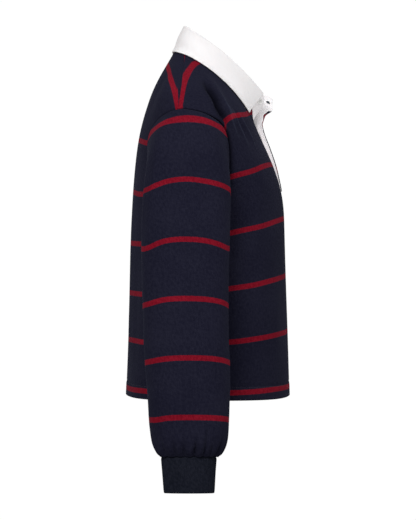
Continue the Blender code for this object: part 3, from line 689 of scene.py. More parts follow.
def along_lines(points, folds):
    """How far each point is raised by soft folds that fade out at their ends."""
    raised = np.zeros(points.shape[:-1])
    for height, width, line in folds:
        length = distances(line)
        way = np.linspace(0, length[-1], FOLD_POINTS)
        nearest, share = np.full(raised.shape, np.inf), np.zeros(raised.shape)
        for place, along in zip(spline(length, line)(way), way / length[-1]):
            gap = np.linalg.norm(points - place, axis=-1)
            closer = gap < nearest
            nearest, share = np.where(closer, gap, nearest), np.where(closer, along, share)
        raised += height * bell(nearest, width) * within(share, 0, 1, FOLD_FADE, FOLD_FADE)
    return raised


def body_folds(points, folds):
    """How far each of the body's points is raised by its folds."""
    lines = []
    for fold in folds:
        line = np.array([at_height(fold.side * turn, z) for turn, z in fold.line])
        lines.append((fold.height, fold.width, line))
    return along_lines(points, lines)


def sleeve_folds(turn, down, shift):
    """The same for a sleeve, in the flat of its cloth. shift makes the two sleeves differ."""
    turn, down = np.meshgrid(turn * SLEEVE_RADIUS, down * SLEEVE_LENGTH)
    lines = []
    for height, width, line in SLEEVE_FOLDS:
        turns, shares = np.array(line).T
        line = np.radians(turns) * SLEEVE_RADIUS, (shares + shift) * SLEEVE_LENGTH
        lines.append((height, width, np.stack(line, axis=1)))
    return along_lines(np.stack([turn, down], axis=-1), lines)


# Painted shade darkens the jersey in folds deeper than DEEP_FOLD, spread wider than the folds
# themselves.
DEEP_FOLD, SHADE_SPREAD = -0.003, 1.7
# A painted highlight pales the jersey in a narrow band along the sharp raised folds.
SHARP_FOLD, HIGHLIGHT_WIDTH = 0.0050, 0.0015
# The painted shade beside the front armhole, where the sleeve shades the chest: its reach, then its
# foot and top, and how each fades.
ARMHOLE_SHADE_REACH, ARMHOLE_SHADE = 0.0065, (-0.235, -0.088, 0.05, 0.02)


def fold_shade(points, folds, from_seam):
    """The painted shade in the deep folds and along the armhole, and the painted highlight along
    the sharp folds.
    """
    deep = [
        fold._replace(height=1.0, width=fold.width * SHADE_SPREAD)
        for fold in folds
        if fold.height < DEEP_FOLD
    ]
    sharp = [
        fold._replace(height=1.0, width=HIGHLIGHT_WIDTH)
        for fold in folds
        if fold.height > 0 and fold.width < SHARP_FOLD
    ]
    sunk, painted_highlight = (np.clip(body_folds(points, chosen), 0, 1) for chosen in (deep, sharp))
    # painted shade along the front armhole, standing in for the sleeve's shadow
    armhole_shade = bell(from_seam, ARMHOLE_SHADE_REACH) * within(points[..., 2], *ARMHOLE_SHADE) if deep else 0
    return np.stack([1 - (1 - sunk) * (1 - armhole_shade), painted_highlight], axis=-1)


SEAM_DIP, SEAM_REACH = 0.0010, 0.0022


def seam_dip(away):
    """How far cloth sinks towards a seam that lies away from it."""
    return -SEAM_DIP * bell(away, SEAM_REACH)


# ---------------------------------------------------------------- front and back
HEM_PROUD, HEM_GROOVE, HEM_GROOVE_REACH, HEM_EDGE = 0.0005, 0.0009, 0.0017, 0.004
FOLDS_CLEAR = 0.012  # of the armhole and shoulder seams
# Where the second stripe turns down into the armhole, how much thinner it is there, and between
# which heights.
TURN_DOWN, TURN_REACH, TURN_THIN = math.radians(60), math.radians(3.5), 0.45
TURN_HEIGHTS = (-0.15, -0.104, 0.004, 0.004)
# The stripe that meets the armhole on the shoulder is stretched wider, by the front or the back.
SPREAD_START, SPREAD_REACH = math.radians(76), math.radians(8)
SHOULDER_SPREAD = {True: 0.45, False: 0.25}
ONE_STRIPE = 0.35  # how near a stripe's own number its stretch stays


def half_panel(front, side, inner_angles, rows, folds):
    """Outer points, inner points, cloth coordinates, stripes and shade of a half panel."""
    edge, centre = panel_edge(front, rows), centre_heights(rows)
    out = steps_through(COLUMN_STOPS)
    angle = inner_angles[:, None] + (edge[:, :1] - inner_angles[:, None]) * out
    height = centre[:, None] + (edge[:, 1:] - centre[:, None]) * out**ROW_BEND
    points = body(side * angle, height)
    points[:, -1] = trim(points[:, -1], points[:, -2])
    normals = body_normal(side * angle, height)
    across, up = lengths_across(points), distances(points)
    start = side * body_ring(height[:, 0])[:, HALF_WIDTH] * (inner_angles if front else 0)
    u = start[:, None] + side * across * (1 if front else -1)
    stripes = crowded(points, stripe_number(angle, points[..., 2], front))
    near_seam = angle - SPREAD_START if front else math.pi - SPREAD_START - angle
    spread = SHOULDER_SPREAD[front] * smooth(near_seam / SPREAD_REACH)
    stripes[..., 1] *= 1 + spread * bell(stripes[..., 0], ONE_STRIPE)
    if front:
        turning = bell(angle - TURN_DOWN, TURN_REACH) * within(points[..., 2], *TURN_HEIGHTS)
        stripes[..., 1] *= 1 - TURN_THIN * turning
    from_seam = across[:, -1:] - across
    hem = 1 - smooth((up - HEM_HEIGHT) / HEM_EDGE + 0.5)
    rise = body_folds(points, folds) * smooth(from_seam / FOLDS_CLEAR) + seam_dip(from_seam)
    rise = rise + HEM_PROUD * hem - HEM_GROOVE * bell(up - HEM_HEIGHT, HEM_GROOVE_REACH)
    outer = points + normals * rise[..., None]
    inner = outer - normals * (JERSEY + HEM_LAYER * hem)[..., None]
    shade = fold_shade(points, folds, from_seam)
    return outer, inner, np.stack([u, up], axis=-1), stripes, shade


SLOT_COLUMNS = 8  # inside the front, below the slot


def front_panel(finish):
    """The front in one piece, and its outer grid and cloth coordinates."""
    rows = steps_through(ROW_STOPS)
    heights = centre_heights(rows)
    angles = slot_angle(heights)
    halves = [half_panel(True, side, angles, rows, FRONT_FOLDS) for side in (-1, 1)]
    foot = int(np.argmin(abs(rows - FOOT_ROW)))
    columns = halves[0][0].shape[1]
    for half in halves:
        for grid in half[:2]:
            grid[foot:, 0] = trim(grid[foot:, 0], grid[foot:, 1])
    bridge = np.linspace(0, 1, SLOT_COLUMNS + 2)[1:-1]
    share = bridge[None, :, None]

    def bridged(right, left):
        """Both halves and the columns between them, flat over the slot."""
        between = right[:, :1] + (left[:, :1] - right[:, :1]) * share
        return np.concatenate([right[:, ::-1], between, left], axis=1)

    outer, inner, cloth, stripes, shade = (bridged(*pair) for pair in zip(*halves))
    skin = body(angles[:, None] * (bridge * 2 - 1), heights[:, None])
    right_edge, left_edge = (body(way * angles, heights)[:, None] for way in (-1, 1))
    bow = skin - (right_edge * (1 - share) + left_edge * share)
    for grid in (outer, inner):
        grid[:, columns : columns + SLOT_COLUMNS] += bow

    def in_slot(row, column):
        return columns - 1 <= column < columns + SLOT_COLUMNS and row >= foot

    made = wall("front_panel", outer, inner, cloth, finish,
                skip=in_slot, stripes=stripes, shade=shade)
    return made, outer, cloth


def back_panel(finish):
    """The back in one piece, and its outer grid and cloth coordinates."""
    rows = steps_through(ROW_STOPS)
    angles = np.full(len(rows), math.pi)
    halves = [half_panel(False, side, angles, rows, BACK_FOLDS) for side in (1, -1)]
    outer, inner, cloth, stripes, shade = (
        np.concatenate([left[:, ::-1], right[:, 1:]], axis=1) for left, right in zip(*halves)
    )
    made = wall("back_panel", outer, inner, cloth, finish, stripes=stripes, shade=shade)
    return made, outer, cloth


# ---------------------------------------------------------------- sleeves and cuffs
OUTER_TURN = math.pi * 0.62  # as far round as the stripes' distances down are measured
SLEEVE_PUFF, PUFF_FROM_SEAM, PUFF_REACH = 0.0008, 0.0075, 0.005
UNDERARM_DIP = 0.7  # of any other seam's
FOLD_SHIFT = 0.012  # between a sleeve's folds and the mean of the two


def section_ring(section, turn):
    """One ring round the sleeve. turn is 0 on its outer line and 90 degrees in front."""
    s, c = np.sin(turn), np.cos(turn)
    outer = np.array([section.outer_x, section.outer_z])
    inner = np.array([section.inner_x, section.inner_z])
    middle, half = (outer + inner) / 2, (outer - inner) / 2
    x, z = (middle + half * (c * (1 + SLEEVE_FULLNESS * s * s))[:, None]).T
    centre_y = (section.front_y + section.back_y) / 2
    half_y = (section.back_y - section.front_y) / 2
    return np.stack([x, centre_y - half_y * s * (1 + SLEEVE_FULLNESS * c * c), z], axis=1)


def armhole_place(turn):
    """(angle, height) at turns from the underarm, -180, over the shoulder to +180."""
    share = 1 - np.abs(turn) / math.pi
    return np.where((turn > 0)[:, None], armhole_half(True, share), armhole_half(False, share))


def sleeve_stripes(turn, down):
    """How many stripes down a point of the sleeve lies."""
    under, sag = (1 - np.cos(turn)) / 2, bell(turn - SAG_TURN, SAG_REACH)
    lines = [s.down - s.rise * under**s.late + s.sag * sag for s in SLEEVE_STRIPES]
    numbers = [s.number for s in SLEEVE_STRIPES]
    columns = [np.interp(down, stops, numbers) for stops in np.array(lines).T]
    return np.array(columns).T


def gathers(turn, down, side):
    """Puckers that run up from the cuff: round puffs between sharp creases."""
    # The sines below have no other meaning than to make no two puffs alike.
    jitter = 0.05 * np.sin(3 * turn + 1.1 * side) + 0.03 * np.sin(7 * turn + 2)
    puffs = 2 * np.abs(np.cos(GATHERS * (turn + jitter) / 2)) ** 0.7 - 1.2
    depth = GATHER_DEPTH * (0.80 + 0.30 * np.sin(5 * turn + 0.8) + 0.20 * np.sin(9 * turn + side))
    start = GATHERS_START + 0.028 * np.sin(6 * turn + 2.2) + 0.018 * np.sin(11 * turn)
    full = smooth((down[:, None] - start) / (GATHERS_FULL - start))
    sewn = smooth((down - GATHERS_FULL) / (GATHERS_SEWN - GATHERS_FULL))[:, None]
    return full * (1 - (1 - GATHERS_KEPT) * sewn) * puffs * depth


def sleeve(side, name, finish):
    """A sleeve, and the grid of its inside."""
    turn = full_turn(AROUND_SLEEVE)
    rings = [body(*armhole_place(turn).T)]
    rings = np.array(rings + [section_ring(section, turn) for section in SLEEVE_SECTIONS])
    lengths = np.linalg.norm(np.diff(rings, axis=0), axis=2)
    outside = np.abs(turn) < OUTER_TURN
    knots, outer_knots = (
        np.concatenate([[0], np.cumsum(means)]) / means.sum()
        for means in (lengths.mean(axis=1), lengths[:, outside].mean(axis=1))
    )
    down = steps_through(DOWN_STOPS)
    grid = spline(knots, rings)(down)
    normals = grid_normals(grid, closed=True)
    from_seam, ring = distances(grid), closed_up(grid)
    across = lengths_across(ring)
    from_underarm = np.minimum(across, across[:, -1:] - across)[:, :-1]
    rise = gathers(turn, down, side) + seam_dip(from_seam) + seam_dip(from_underarm) * UNDERARM_DIP
    rise = rise + SLEEVE_PUFF * bell(from_seam - PUFF_FROM_SEAM, PUFF_REACH)
    rise = rise + sleeve_folds(turn, down, FOLD_SHIFT * side)
    outer = grid + normals * rise[..., None]
    outer[0] = trim(outer[0], outer[1])
    inner = outer - normals * JERSEY
    number = sleeve_stripes(np.append(turn, math.pi), spline(knots, outer_knots)(down))
    stripes = crowded(ring, number)
    stripes[..., 1] *= 1 + TOP_STRIPE_SPREAD * bell(stripes[..., 0], ONE_STRIPE)
    cloth = np.stack([across - across[:, AROUND_SLEEVE // 2][:, None], -closed_up(from_seam)], -1)
    made = wall("sleeve_" + name + "_cloth", outer * mirror(side), inner * mirror(side), cloth,
                finish, closed=True, stripes=stripes)
    return made, inner


CUFF_STOPS = ((0, 0), (0.004, 4), (0.046, 10), (CUFF_RINGS[-1].drop, 4))
CUFF_END_DIP, CUFF_END_REACH = 0.0004, 0.002


def cuff_wall(side, name, finish):
    """The cuff before its ribs are raised, storing where they will be, and its inside's grid."""
    seam = SLEEVE_SECTIONS[-1]
    out = unit(np.array([seam.outer_x - seam.inner_x, 0, seam.outer_z - seam.inner_z]))
    down = np.array([out[2], 0, -out[0]])
    centre_x, centre_z = (seam.outer_x + seam.inner_x) / 2, (seam.outer_z + seam.inner_z) / 2
    turn = full_turn(CUFF_RIBS * 4)
    outwards, forwards = np.cos(turn)[:, None] * out, np.sin(turn)[:, None] * np.array([0, -1, 0])
    drops, *sizes = np.array(CUFF_RINGS).T
    outer = []
    for drop in steps_through(CUFF_STOPS):
        half_out, half_y, back_y = (float(np.interp(drop, drops, size)) for size in sizes)
        middle = np.array([centre_x, back_y - half_y, centre_z]) + down * (SEAM_GAP + drop)
        rise = seam_dip(drop) - CUFF_END_DIP * bell(drops[-1] - drop, CUFF_END_REACH) + RIB_DEPTH
        outer.append(middle + outwards * (half_out + rise) + forwards * (half_y + rise))
    outer = np.array(outer)
    inner = outer - (outwards + forwards) * (RIB_WALL + RIB_DEPTH)
    u = lengths_across(closed_up(outer))
    v = np.repeat(-distances(outer[:, :1]), u.shape[1], axis=1)
    made = wall("cuff_" + name + "_plain", outer * mirror(side), inner * mirror(side),
                np.stack([u, v], -1), finish, closed=True)
    raised = np.zeros(len(made.data.vertices))
    raised[: outer[..., 0].size] = np.tile(np.cos(CUFF_RIBS * turn), len(outer))
    layer = made.data.attributes.new("rib", "FLOAT", "POINT")
    layer.data.foreach_set("value", raised.astype(np.float32))
    return made, inner


# ---------------------------------------------------------------- plackets
# How far the facing stops short of the free edge, by the height of the placket's seam.
FACING_INSETS = (
    (-0.205, 0.0002),
    (-0.105, 0.0002),
    (-0.0985, -0.0002),
    (-0.0900, -0.0004),
    (-0.0880, 0.0046),
    (-0.0865, 0.0060),
    (-0.0800, 0.0056),
    (-0.0782, -0.0002),
    (-0.057, -0.0004),
)
PLACKET_SHIFT = 0.0070  # how much lower its stripes lie than the body's
# How the over placket's top stands off: where that starts, how far its fade reaches, and how far
# the tab moves; then the bend at its free corner.
TAB_START, TAB_FADE, TAB_LIFT = -0.084, 0.018, (0.0, -0.0022, 0.0016)
TAB_CORNER, TAB_CORNER_REACH, TAB_ROUNDED = -0.0768, 0.0042, (0.0, 0.0013, 0.0019)


def slot_heights():
    """The heights of the rows beside the slot."""
    rows = steps_through(ROW_STOPS)
    return centre_heights(rows[rows >= FOOT_ROW - 1e-6])


def swung(side, swing, across, depth=0.0):
    """A placket's outer face: rows up its seam, columns at the distances across from it."""
    height = slot_heights()
    angle = side * slot_angle(height)
    normal, seam = body_normal(angle, height), body(angle, height)
    inward = np.cross(normal, unit(np.gradient(seam, axis=0))) * side
    table = np.array(swing)[::-1]
    lift, curl = np.radians(sampled(table[:, 1:], table[:, 0], seam[:, 2])).T[..., None]
    across = np.asarray(across)[None, :]
    swinging = np.maximum(across, 0)
    half_turn = curl * swinging / (2 * PLACKET_WIDTH)
    chord = swinging * np.sinc(half_turn / math.pi)
    slope = lift + half_turn
    along = (chord * np.cos(slope) + np.minimum(across, 0))[..., None]
    out = (chord * np.sin(slope) - depth)[..., None]
    return seam[:, None] + inward[:, None] * along + normal[:, None] * out


def cut_top(grid, drops):
    """The grid with each column shortened at its top by its drop."""
    for column, drop in enumerate(drops):
        along = distances(grid[:, column])
        grid[:, column] = sampled(grid[:, column], along, along * (1 - drop / along[-1]))
    return grid


def over_grid():
    """The over placket's outer face and normals."""
    across = np.linspace(SEWN_GAP, PLACKET_WIDTH - FACING_INSET, PLACKET_STEPS)
    across = np.append(across, np.linspace(PLACKET_WIDTH - FACING_INSET, PLACKET_WIDTH, 5)[1:])
    past = np.maximum(across - (PLACKET_WIDTH - CORNER_RADIUS), 0)
    round_off = CORNER_RADIUS - np.sqrt(CORNER_RADIUS**2 - past**2)
    grid = swung(1, OVER_SWING, across)
    seam_z = grid[:, :1, 2]
    free = smooth(across / PLACKET_WIDTH)
    lifted = smooth((seam_z - TAB_START) / TAB_FADE) * free
    corner = bell(seam_z - TAB_CORNER, TAB_CORNER_REACH) * free**2
    grid = grid + lifted[..., None] * np.array(TAB_LIFT) + corner[..., None] * np.array(TAB_ROUNDED)
    grid = cut_top(grid, across * TOP_SLOPE + round_off)
    grid[0] = trim(grid[0], grid[1])
    return grid, -grid_normals(grid)


def under_grid():
    """The under placket's outer face and normals, from behind the right front's edge."""
    across = np.linspace(0, PLACKET_WIDTH - UNDER_TUCK, PLACKET_STEPS)
    across = np.concatenate([np.linspace(-UNDER_TUCK, 0, 5)[:-1], across])
    grid = swung(-1, UNDER_SWING, across, UNDER_DEPTH)
    grid = cut_top(grid, np.maximum(across, 0) * TOP_SLOPE)
    foot = grid[0] + unit(grid[0] - grid[1]) * UNDER_FOOT
    grid = np.concatenate([foot[None], grid])
    return grid, grid_normals(grid)


def placket_stripes(grid):
    """Stripes of a placket, which carry on across from its seam a little low."""
    angle, height = slot_angle(slot_heights()), slot_heights()
    number = stripe_number(angle, body(angle, height)[:, 2] + PLACKET_SHIFT, True)
    return crowded(grid, np.repeat(number[:, None], grid.shape[1], axis=1))


def flat_cloth(grid):
    """Cloth coordinates of a grid that is cut straight."""
    return np.stack([lengths_across(grid), distances(grid)], axis=-1)


def facing_grid(grid, normals):
    """The facing's front face and normals: short of the free edge, or past it at the tab."""
    across, height = distances(grid[0]), slot_heights()
    seam_z = body(slot_angle(height), height)[:, 2]
    reach = across[-1] - np.interp(seam_z, *np.array(FACING_INSETS).T)
    made = []
    for row, facing, end in zip(grid, normals, reach):
        way = across / across[-1] * end
        over = np.maximum(way - across[-1], 0)[:, None]
        points, turned = (sampled(values, across, way) for values in (row, facing))
        made.append((points + unit(row[-1] - row[-2]) * over, unit(turned)))
    points, turned = (np.array(values) for values in zip(*made))
    return points - turned * (PLACKET_LAYER + FACING_GAP), turned


def plackets(jersey, twill):
    """The over placket, its facing and the under placket, and the grids of each."""
    grid, normals = over_grid()
    over = wall("placket_outer", grid, grid - normals * PLACKET_LAYER, flat_cloth(grid), jersey,
                bulge=THIN_BULGE, stripes=placket_stripes(grid))
    front, turned = facing_grid(grid, normals)
    behind = front - turned * PLACKET_LAYER
    facing = wall("placket_inner", front, behind, flat_cloth(front), twill, bulge=THIN_BULGE)
    lower, facing_out = under_grid()
    under = wall("placket_lower", lower, lower - facing_out * TWILL, flat_cloth(lower), twill)
    grids = {"over": (grid, normals), "facing": (behind, -turned), "under": (lower, facing_out)}
    return over, facing, under, grids


# ---------------------------------------------------------------- collar
def neck_line(side, angles):
    """Where the collar stands, and the way up from it."""
    slot = slot_angle(np.array(1.0))
    on_body = np.maximum(angles, slot)
    line, normal = body(side * on_body, 1.0), body_normal(side * on_body, 1.0)
    rise = unit(line - body(side * on_body, 0.99))
    line = line - normal * JERSEY / 2
    grid, normals = over_grid() if side > 0 else under_grid()
    along = distances(grid[-1])
    past = along[-1] * (1 - angles / slot)
    placket = sampled(grid[-1] - normals[-1] * TWILL / 2, along, past)
    placket_up = unit(sampled(unit(np.gradient(grid, axis=0)[-1]), along, past))
    on_placket = (angles < slot)[:, None]
    return np.where(on_placket, placket, line), np.where(on_placket, placket_up, rise)


def clear_of_body(points, clearance):
    """The points, moved out along the body's normals until they stand clear of it."""
    angle, height = np.meshgrid(full_turn(120), np.linspace(UNDER_COLLAR, 1, 31))
    skin, out = body(angle, height).reshape(-1, 3), body_normal(angle, height).reshape(-1, 3)
    moved = points.reshape(-1, 3).copy()
    for i, point in enumerate(moved):
        nearest = np.argmin(((skin - point) ** 2).sum(axis=1))
        depth = (point - skin[nearest]) @ out[nearest]
        moved[i] += out[nearest] * max(clearance - depth, 0)
    return moved.reshape(points.shape)


def half_collar(side):
    """Rows up the stand, over the fold and down the leaf; columns from the back to the front."""
    last = LEFT_END if side > 0 else COLLAR_TURNS[-1]
    turns = np.array([*COLLAR_TURNS[:-1], last])
    share = np.linspace(0, 1, len(turns))
    table = spline(share, turns)(np.linspace(0, 1, COLLAR_STEPS // 2 + 1))
    neck, rise = neck_line(side, np.radians(table[:, 0]))
    fold, edge = table[:, 1:4] * mirror(side), table[:, 4:7] * mirror(side)
    forward = unit(np.gradient(fold, axis=0))
    forward[0] = np.array([side, 0, 0])
    away = fold - np.array([0, NECK_CENTRE_Y, 0])
    away[:, 2] = 0
    away = unit(away - forward * (away * forward).sum(axis=1, keepdims=True))
    up = np.cross(away, forward)
    up = up * np.sign(up[:, 2:])
    heart = fold - up * FOLD_RADIUS
    neck = neck + rise * (STAND_RISE + TWILL / 2) - away * TWILL / 2
    top = heart - away * FOLD_RADIUS
    rows = [neck + (top - neck) * k / STAND_STEPS for k in range(STAND_STEPS)]
    for around in np.radians(FOLD_ANGLES):
        rows.append(heart + (away * math.cos(around) + up * math.sin(around)) * FOLD_RADIUS)
    top = rows[-1]
    for k in np.linspace(0, 1, LEAF_STEPS + 1)[1:]:
        leaf = top + (edge - top) * k + away * LEAF_BULGE * 4 * k * (1 - k)
        rows.append(clear_of_body(leaf, LEAF_CLEARANCE))
    return np.array(rows)


# Stops of a fine row, up the stand and over the fold, and of a fine column along the collar.
COLLAR_ROW_STOPS = ((0, 0), (2, 6), (7, 20), (10.8, 22), (11, 3))
COLLAR_COLUMN_STOPS = ((0, 0), (0.5, 5), (COLLAR_STEPS - 0.5, 110), (COLLAR_STEPS, 5))
# Painted shade along the collar's fold, strongest at the back: its reach from the fold, then where
# it starts to fade towards the front and over how far.
COLLAR_SHADE_REACH = 0.019
COLLAR_SHADE_START, COLLAR_SHADE_FADE = 0.30, 0.40  # of the way from the centre back to the front


def collar(finish):
    """The collar, and its outer grid and normals."""
    coarse = np.concatenate([half_collar(-1)[:, ::-1], half_collar(1)[:, 1:]], axis=1)
    grid = refined(coarse, steps_through(COLLAR_ROW_STOPS), steps_through(COLLAR_COLUMN_STOPS))
    normals, cloth = grid_normals(grid), flat_cloth(grid)
    up, columns = cloth[..., 1], grid.shape[1]
    from_fold = up - up[np.argmax(grid[..., 2], axis=0), np.arange(columns)]
    from_back = np.abs(np.linspace(-1, 1, columns))
    # painted shade along the fold, fading out towards the front
    painted_shade = bell(from_fold, COLLAR_SHADE_REACH) * (1 - smooth((from_back - COLLAR_SHADE_START) / COLLAR_SHADE_FADE))
    made = wall("collar_twill", grid, grid - normals * TWILL, cloth, finish,
                shade=np.stack([painted_shade, painted_shade], axis=-1))
    return made, (grid, normals)


# ---------------------------------------------------------------- seam allowances
ALLOWANCE, ALLOWANCE_LAYER, ALLOWANCE_GAP, ALLOWANCE_BULGE = 0.006, 0.0010, 0.0004, 0.0002
ALLOWANCE_STOPS = (-ALLOWANCE, -ALLOWANCE / 2, -0.001, 0.001, ALLOWANCE / 2, ALLOWANCE)


def allowance(name, rows, towards, finish, closed=False):
    """A seam's overlocked edges: a strip through rows of points, thickened towards a side."""
    cloth = flat_cloth(closed_up(rows) if closed else rows)
    inner = rows + towards * ALLOWANCE_LAYER
    return wall(name, rows, inner, cloth, finish, closed, bulge=ALLOWANCE_BULGE)


def body_allowance(name, side, edge, finish):
    """A side or shoulder seam's allowances, inside the body."""
    angle, height = edge.T
    step = 1e-3
    stretch = np.linalg.norm(body(angle + step, height) - body(angle - step, height), axis=-1)
    hem_z = float(body(math.pi / 2, 0.0)[2]) + HEM_HEIGHT
    rows, inwards = [], []
    for away in ALLOWANCE_STOPS:
        turned = side * (angle + away * 2 * step / stretch)
        points, normals = body(turned, height), body_normal(turned, height)
        hem = 1 - smooth((points[:, 2] - hem_z) / HEM_EDGE)
        depth = JERSEY + ALLOWANCE_GAP - seam_dip(away) + HEM_LAYER * hem
        rows.append(points - normals * depth[:, None])
        inwards.append(-normals)
    return allowance(name, np.array(rows), np.array(inwards), finish)


def around(ring, count):
    """A closed ring of points at another number of equal turns."""
    whole = np.concatenate([ring, ring[:1]])
    return sampled(whole, np.arange(len(whole)), np.arange(count) * len(ring) / count)


def tube_allowance(name, side, rows, finish):
    """Allowances round a sleeve's armhole or cuff seam."""
    rows = np.array(rows)
    inwards = unit(rows.mean(axis=1, keepdims=True) - rows)
    rows = rows + inwards * ALLOWANCE_GAP
    return allowance(name, rows * mirror(side), inwards * mirror(side), finish, closed=True)


def body_side_of_armhole(beyond):
    """A ring inside the body, a little short of the armhole. beyond lies on the sleeve."""
    place = armhole_place(full_turn(AROUND_SLEEVE))
    edge, normal = body(*place.T), body_normal(*place.T)
    aside = unit(np.cross(normal, np.roll(edge, -1, axis=0) - np.roll(edge, 1, axis=0)))
    aside = aside * -np.sign((aside * (beyond - edge)).sum(axis=1, keepdims=True))
    return edge + aside * ALLOWANCE / 2 - normal * (JERSEY + SEAM_DIP)


def seam_allowances(side, name, sleeve_inner, cuff_inner, finish):
    """All the seams of one side of the shirt, from inside."""
    start = body_side_of_armhole(sleeve_inner[3])
    low = panel_edge(True, np.linspace(ROW_STOPS[0][0], SEAM_ROWS, 60))
    high = panel_edge(True, np.linspace(SEAM_ROWS + ARMHOLE_ROWS, PANEL_ROWS, 40))
    wrist = [sleeve_inner[-4], sleeve_inner[-1]]
    wrist += [around(ring, AROUND_SLEEVE) for ring in (cuff_inner[0], cuff_inner[3])]
    return [
        body_allowance("seam_side_" + name, side, low, finish),
        body_allowance("seam_shoulder_" + name, side, high, finish),
        tube_allowance("seam_armhole_" + name, side, [start, *sleeve_inner[[0, 2, 4, 6]]], finish),
        tube_allowance("seam_cuff_" + name, side, wrist, finish),
    ]


# ---------------------------------------------------------------- node building
class Wire:
    """A node's output, with arithmetic that adds Math nodes."""

    def __init__(self, nodes, socket):
        self.nodes, self.socket = nodes, socket

    def maths(self, operation, *others):
        return self.nodes.add("ShaderNodeMath", {"operation": operation}, [self, *others])

    def __add__(self, other):
        return self.maths("ADD", other)

    __radd__ = __add__

    def __mul__(self, other):
        return self.maths("MULTIPLY", other)

    __rmul__ = __mul__

    def __sub__(self, other):
        return self.maths("SUBTRACT", other)

    def __rsub__(self, other):
        return self.nodes.add("ShaderNodeMath", {"operation": "SUBTRACT"}, [other, self])

    def __truediv__(self, other):
        return self.maths("DIVIDE", other)

    def __abs__(self):
        return self.maths("ABSOLUTE")

    def sine(self):
        return self.maths("SINE")

    def fraction(self):
        return self.maths("FRACT")

    def step(self, low, high):
        """0 below low, 1 above high, smooth between them."""
        inputs = {"Value": self, "From Min": low, "From Max": high}
        return self.nodes.add("ShaderNodeMapRange", {"interpolation_type": "SMOOTHSTEP"}, inputs)


class Nodes:
    """Adds nodes to a tree."""

    def __init__(self, tree):
        self.tree = tree

    def add(self, kind, settings=None, inputs=(), output=0):
        """A node of a kind: its settings, then the values or wires of its inputs."""
        node = self.tree.nodes.new(kind)
        for key, value in (settings or {}).items():
            setattr(node, key, value)
        pairs = inputs.items() if isinstance(inputs, dict) else enumerate(inputs)
        for key, value in pairs:
            if isinstance(value, Wire):
                self.tree.links.new(value.socket, node.inputs[key])
            else:
                node.inputs[key].default_value = value
        return Wire(self, node.outputs[output])

    def mixed(self, share, first, second):
        """Two colours mixed by a share."""
        inputs = {0: share, 6: first, 7: second}
        return self.add("ShaderNodeMix", {"data_type": "RGBA"}, inputs, output=2)


class Finish(Nodes):
    """A material under construction, with its surface shader."""

    def __init__(self, name):
        self.material = bpy.data.materials.new(name)
        self.material.use_nodes = True
        super().__init__(self.material.node_tree)
        self.shader = self.tree.nodes["Principled BSDF"]

    def set(self, **values):
        """Sets the shader's sockets, with _ for a space in a name, and gives the material."""
        for key, value in values.items():
            socket = self.shader.inputs[key.replace("_", " ")]
            if isinstance(value, Wire):
                self.tree.links.new(value.socket, socket)
            else:
                socket.default_value = value
        return self.material

    def both(self, layer):
        """The two values of a UV map."""
        place = self.add("ShaderNodeUVMap", {"uv_map": layer})
        split = self.add("ShaderNodeSeparateXYZ", {}, [place])
        return split, Wire(self, split.socket.node.outputs[1])

    def vector(self, x, y):
        return self.add("ShaderNodeCombineXYZ", {}, [x, y])

    def place(self):
        return self.add("ShaderNodeTexCoord", output=3)

    def noise(self, vector, scale, detail=2.0, roughness=0.5):
        inputs = {"Vector": vector, "Scale": scale, "Detail": detail, "Roughness": roughness}
        return self.add("ShaderNodeTexNoise", {}, inputs)

    def bump(self, height, distance, strength):
        inputs = {"Strength": strength, "Distance": distance, "Height": height}
        return self.add("ShaderNodeBump", {}, inputs)


NAVY, NAVY_LIGHT = (0.0083, 0.0083, 0.0178, 1), (0.0144, 0.0144, 0.0268, 1)
RED, RED_LIGHT = (0.133, 0.0034, 0.0105, 1), (0.204, 0.0078, 0.0180, 1)
# Painted shade: the colours that the deep folds and the front armhole darken the jersey towards.
FOLD_SHADE_NAVY, FOLD_SHADE_RED = (0.0012, 0.0012, 0.0026, 1), (0.040, 0.0008, 0.0030, 1)
# Painted highlight: the colours that the sharp folds pale the jersey towards.
HIGHLIGHT_NAVY, HIGHLIGHT_RED = (0.030, 0.034, 0.056, 1), (0.240, 0.024, 0.038, 1)
RIB_DARK, RIB_LIGHT = (0.0074, 0.0088, 0.0148, 1), (0.0150, 0.0165, 0.0255, 1)
WHITE, WHITE_SHADE = (0.748, 0.729, 0.733, 1), (0.727, 0.704, 0.710, 1)
COLLAR_SHADE_SHARE = 0.905  # how pale the painted shade leaves the collar along its fold
# How far the painted shade in deep folds and the painted highlight along sharp folds go towards
# their colours.
FOLD_SHADE_STRENGTH, HIGHLIGHT_STRENGTH = 0.92, 0.55
STRIPE_EDGE, STRIPE_RAGGED = 0.0005, 0.0009  # half its blur, and how far it wanders
# The placket's twill: a darker copy of the collar's white, lifted by a stronger painted glow.
PLACKET_WHITE, PLACKET_SHADE = (0.640, 0.622, 0.630, 1), (0.615, 0.592, 0.603, 1)
BUTTON_WHITE, BUTTON_CLOUD = (0.82, 0.81, 0.80, 1), (0.70, 0.69, 0.68, 1)
# Painted glow that lightens the buttons in the collar's shadow.
BUTTON_PAINTED_GLOW = (1.0, 0.99, 0.97, 1)
OVERLOCK_LIGHT = (0.026, 0.027, 0.046, 1)
SLIT_DARK, SLIT_LIGHT = (0.012, 0.014, 0.02, 1), (0.03, 0.05, 0.07, 1)
# The dark and light of each thread.
WHITE_THREAD = (0.70, 0.69, 0.68, 1), (0.88, 0.87, 0.86, 1)
NAVY_THREAD = (0.012, 0.012, 0.024, 1), (0.024, 0.025, 0.042, 1)
GREY_THREAD = (0.42, 0.38, 0.39, 1), (0.62, 0.57, 0.58, 1)
# Painted glow of the white twill, lightening its shaded parts; the placket's is stronger, to light
# its facing deep in the slot.
COLLAR_PAINTED_GLOW, PLACKET_PAINTED_GLOW = 0.10, 0.46
WALE, COURSE = 0.00105, 0.00085  # the knit's loops, across and up
TWILL_RIB, OVERLOCK_LOOP = 0.0009, 0.0022


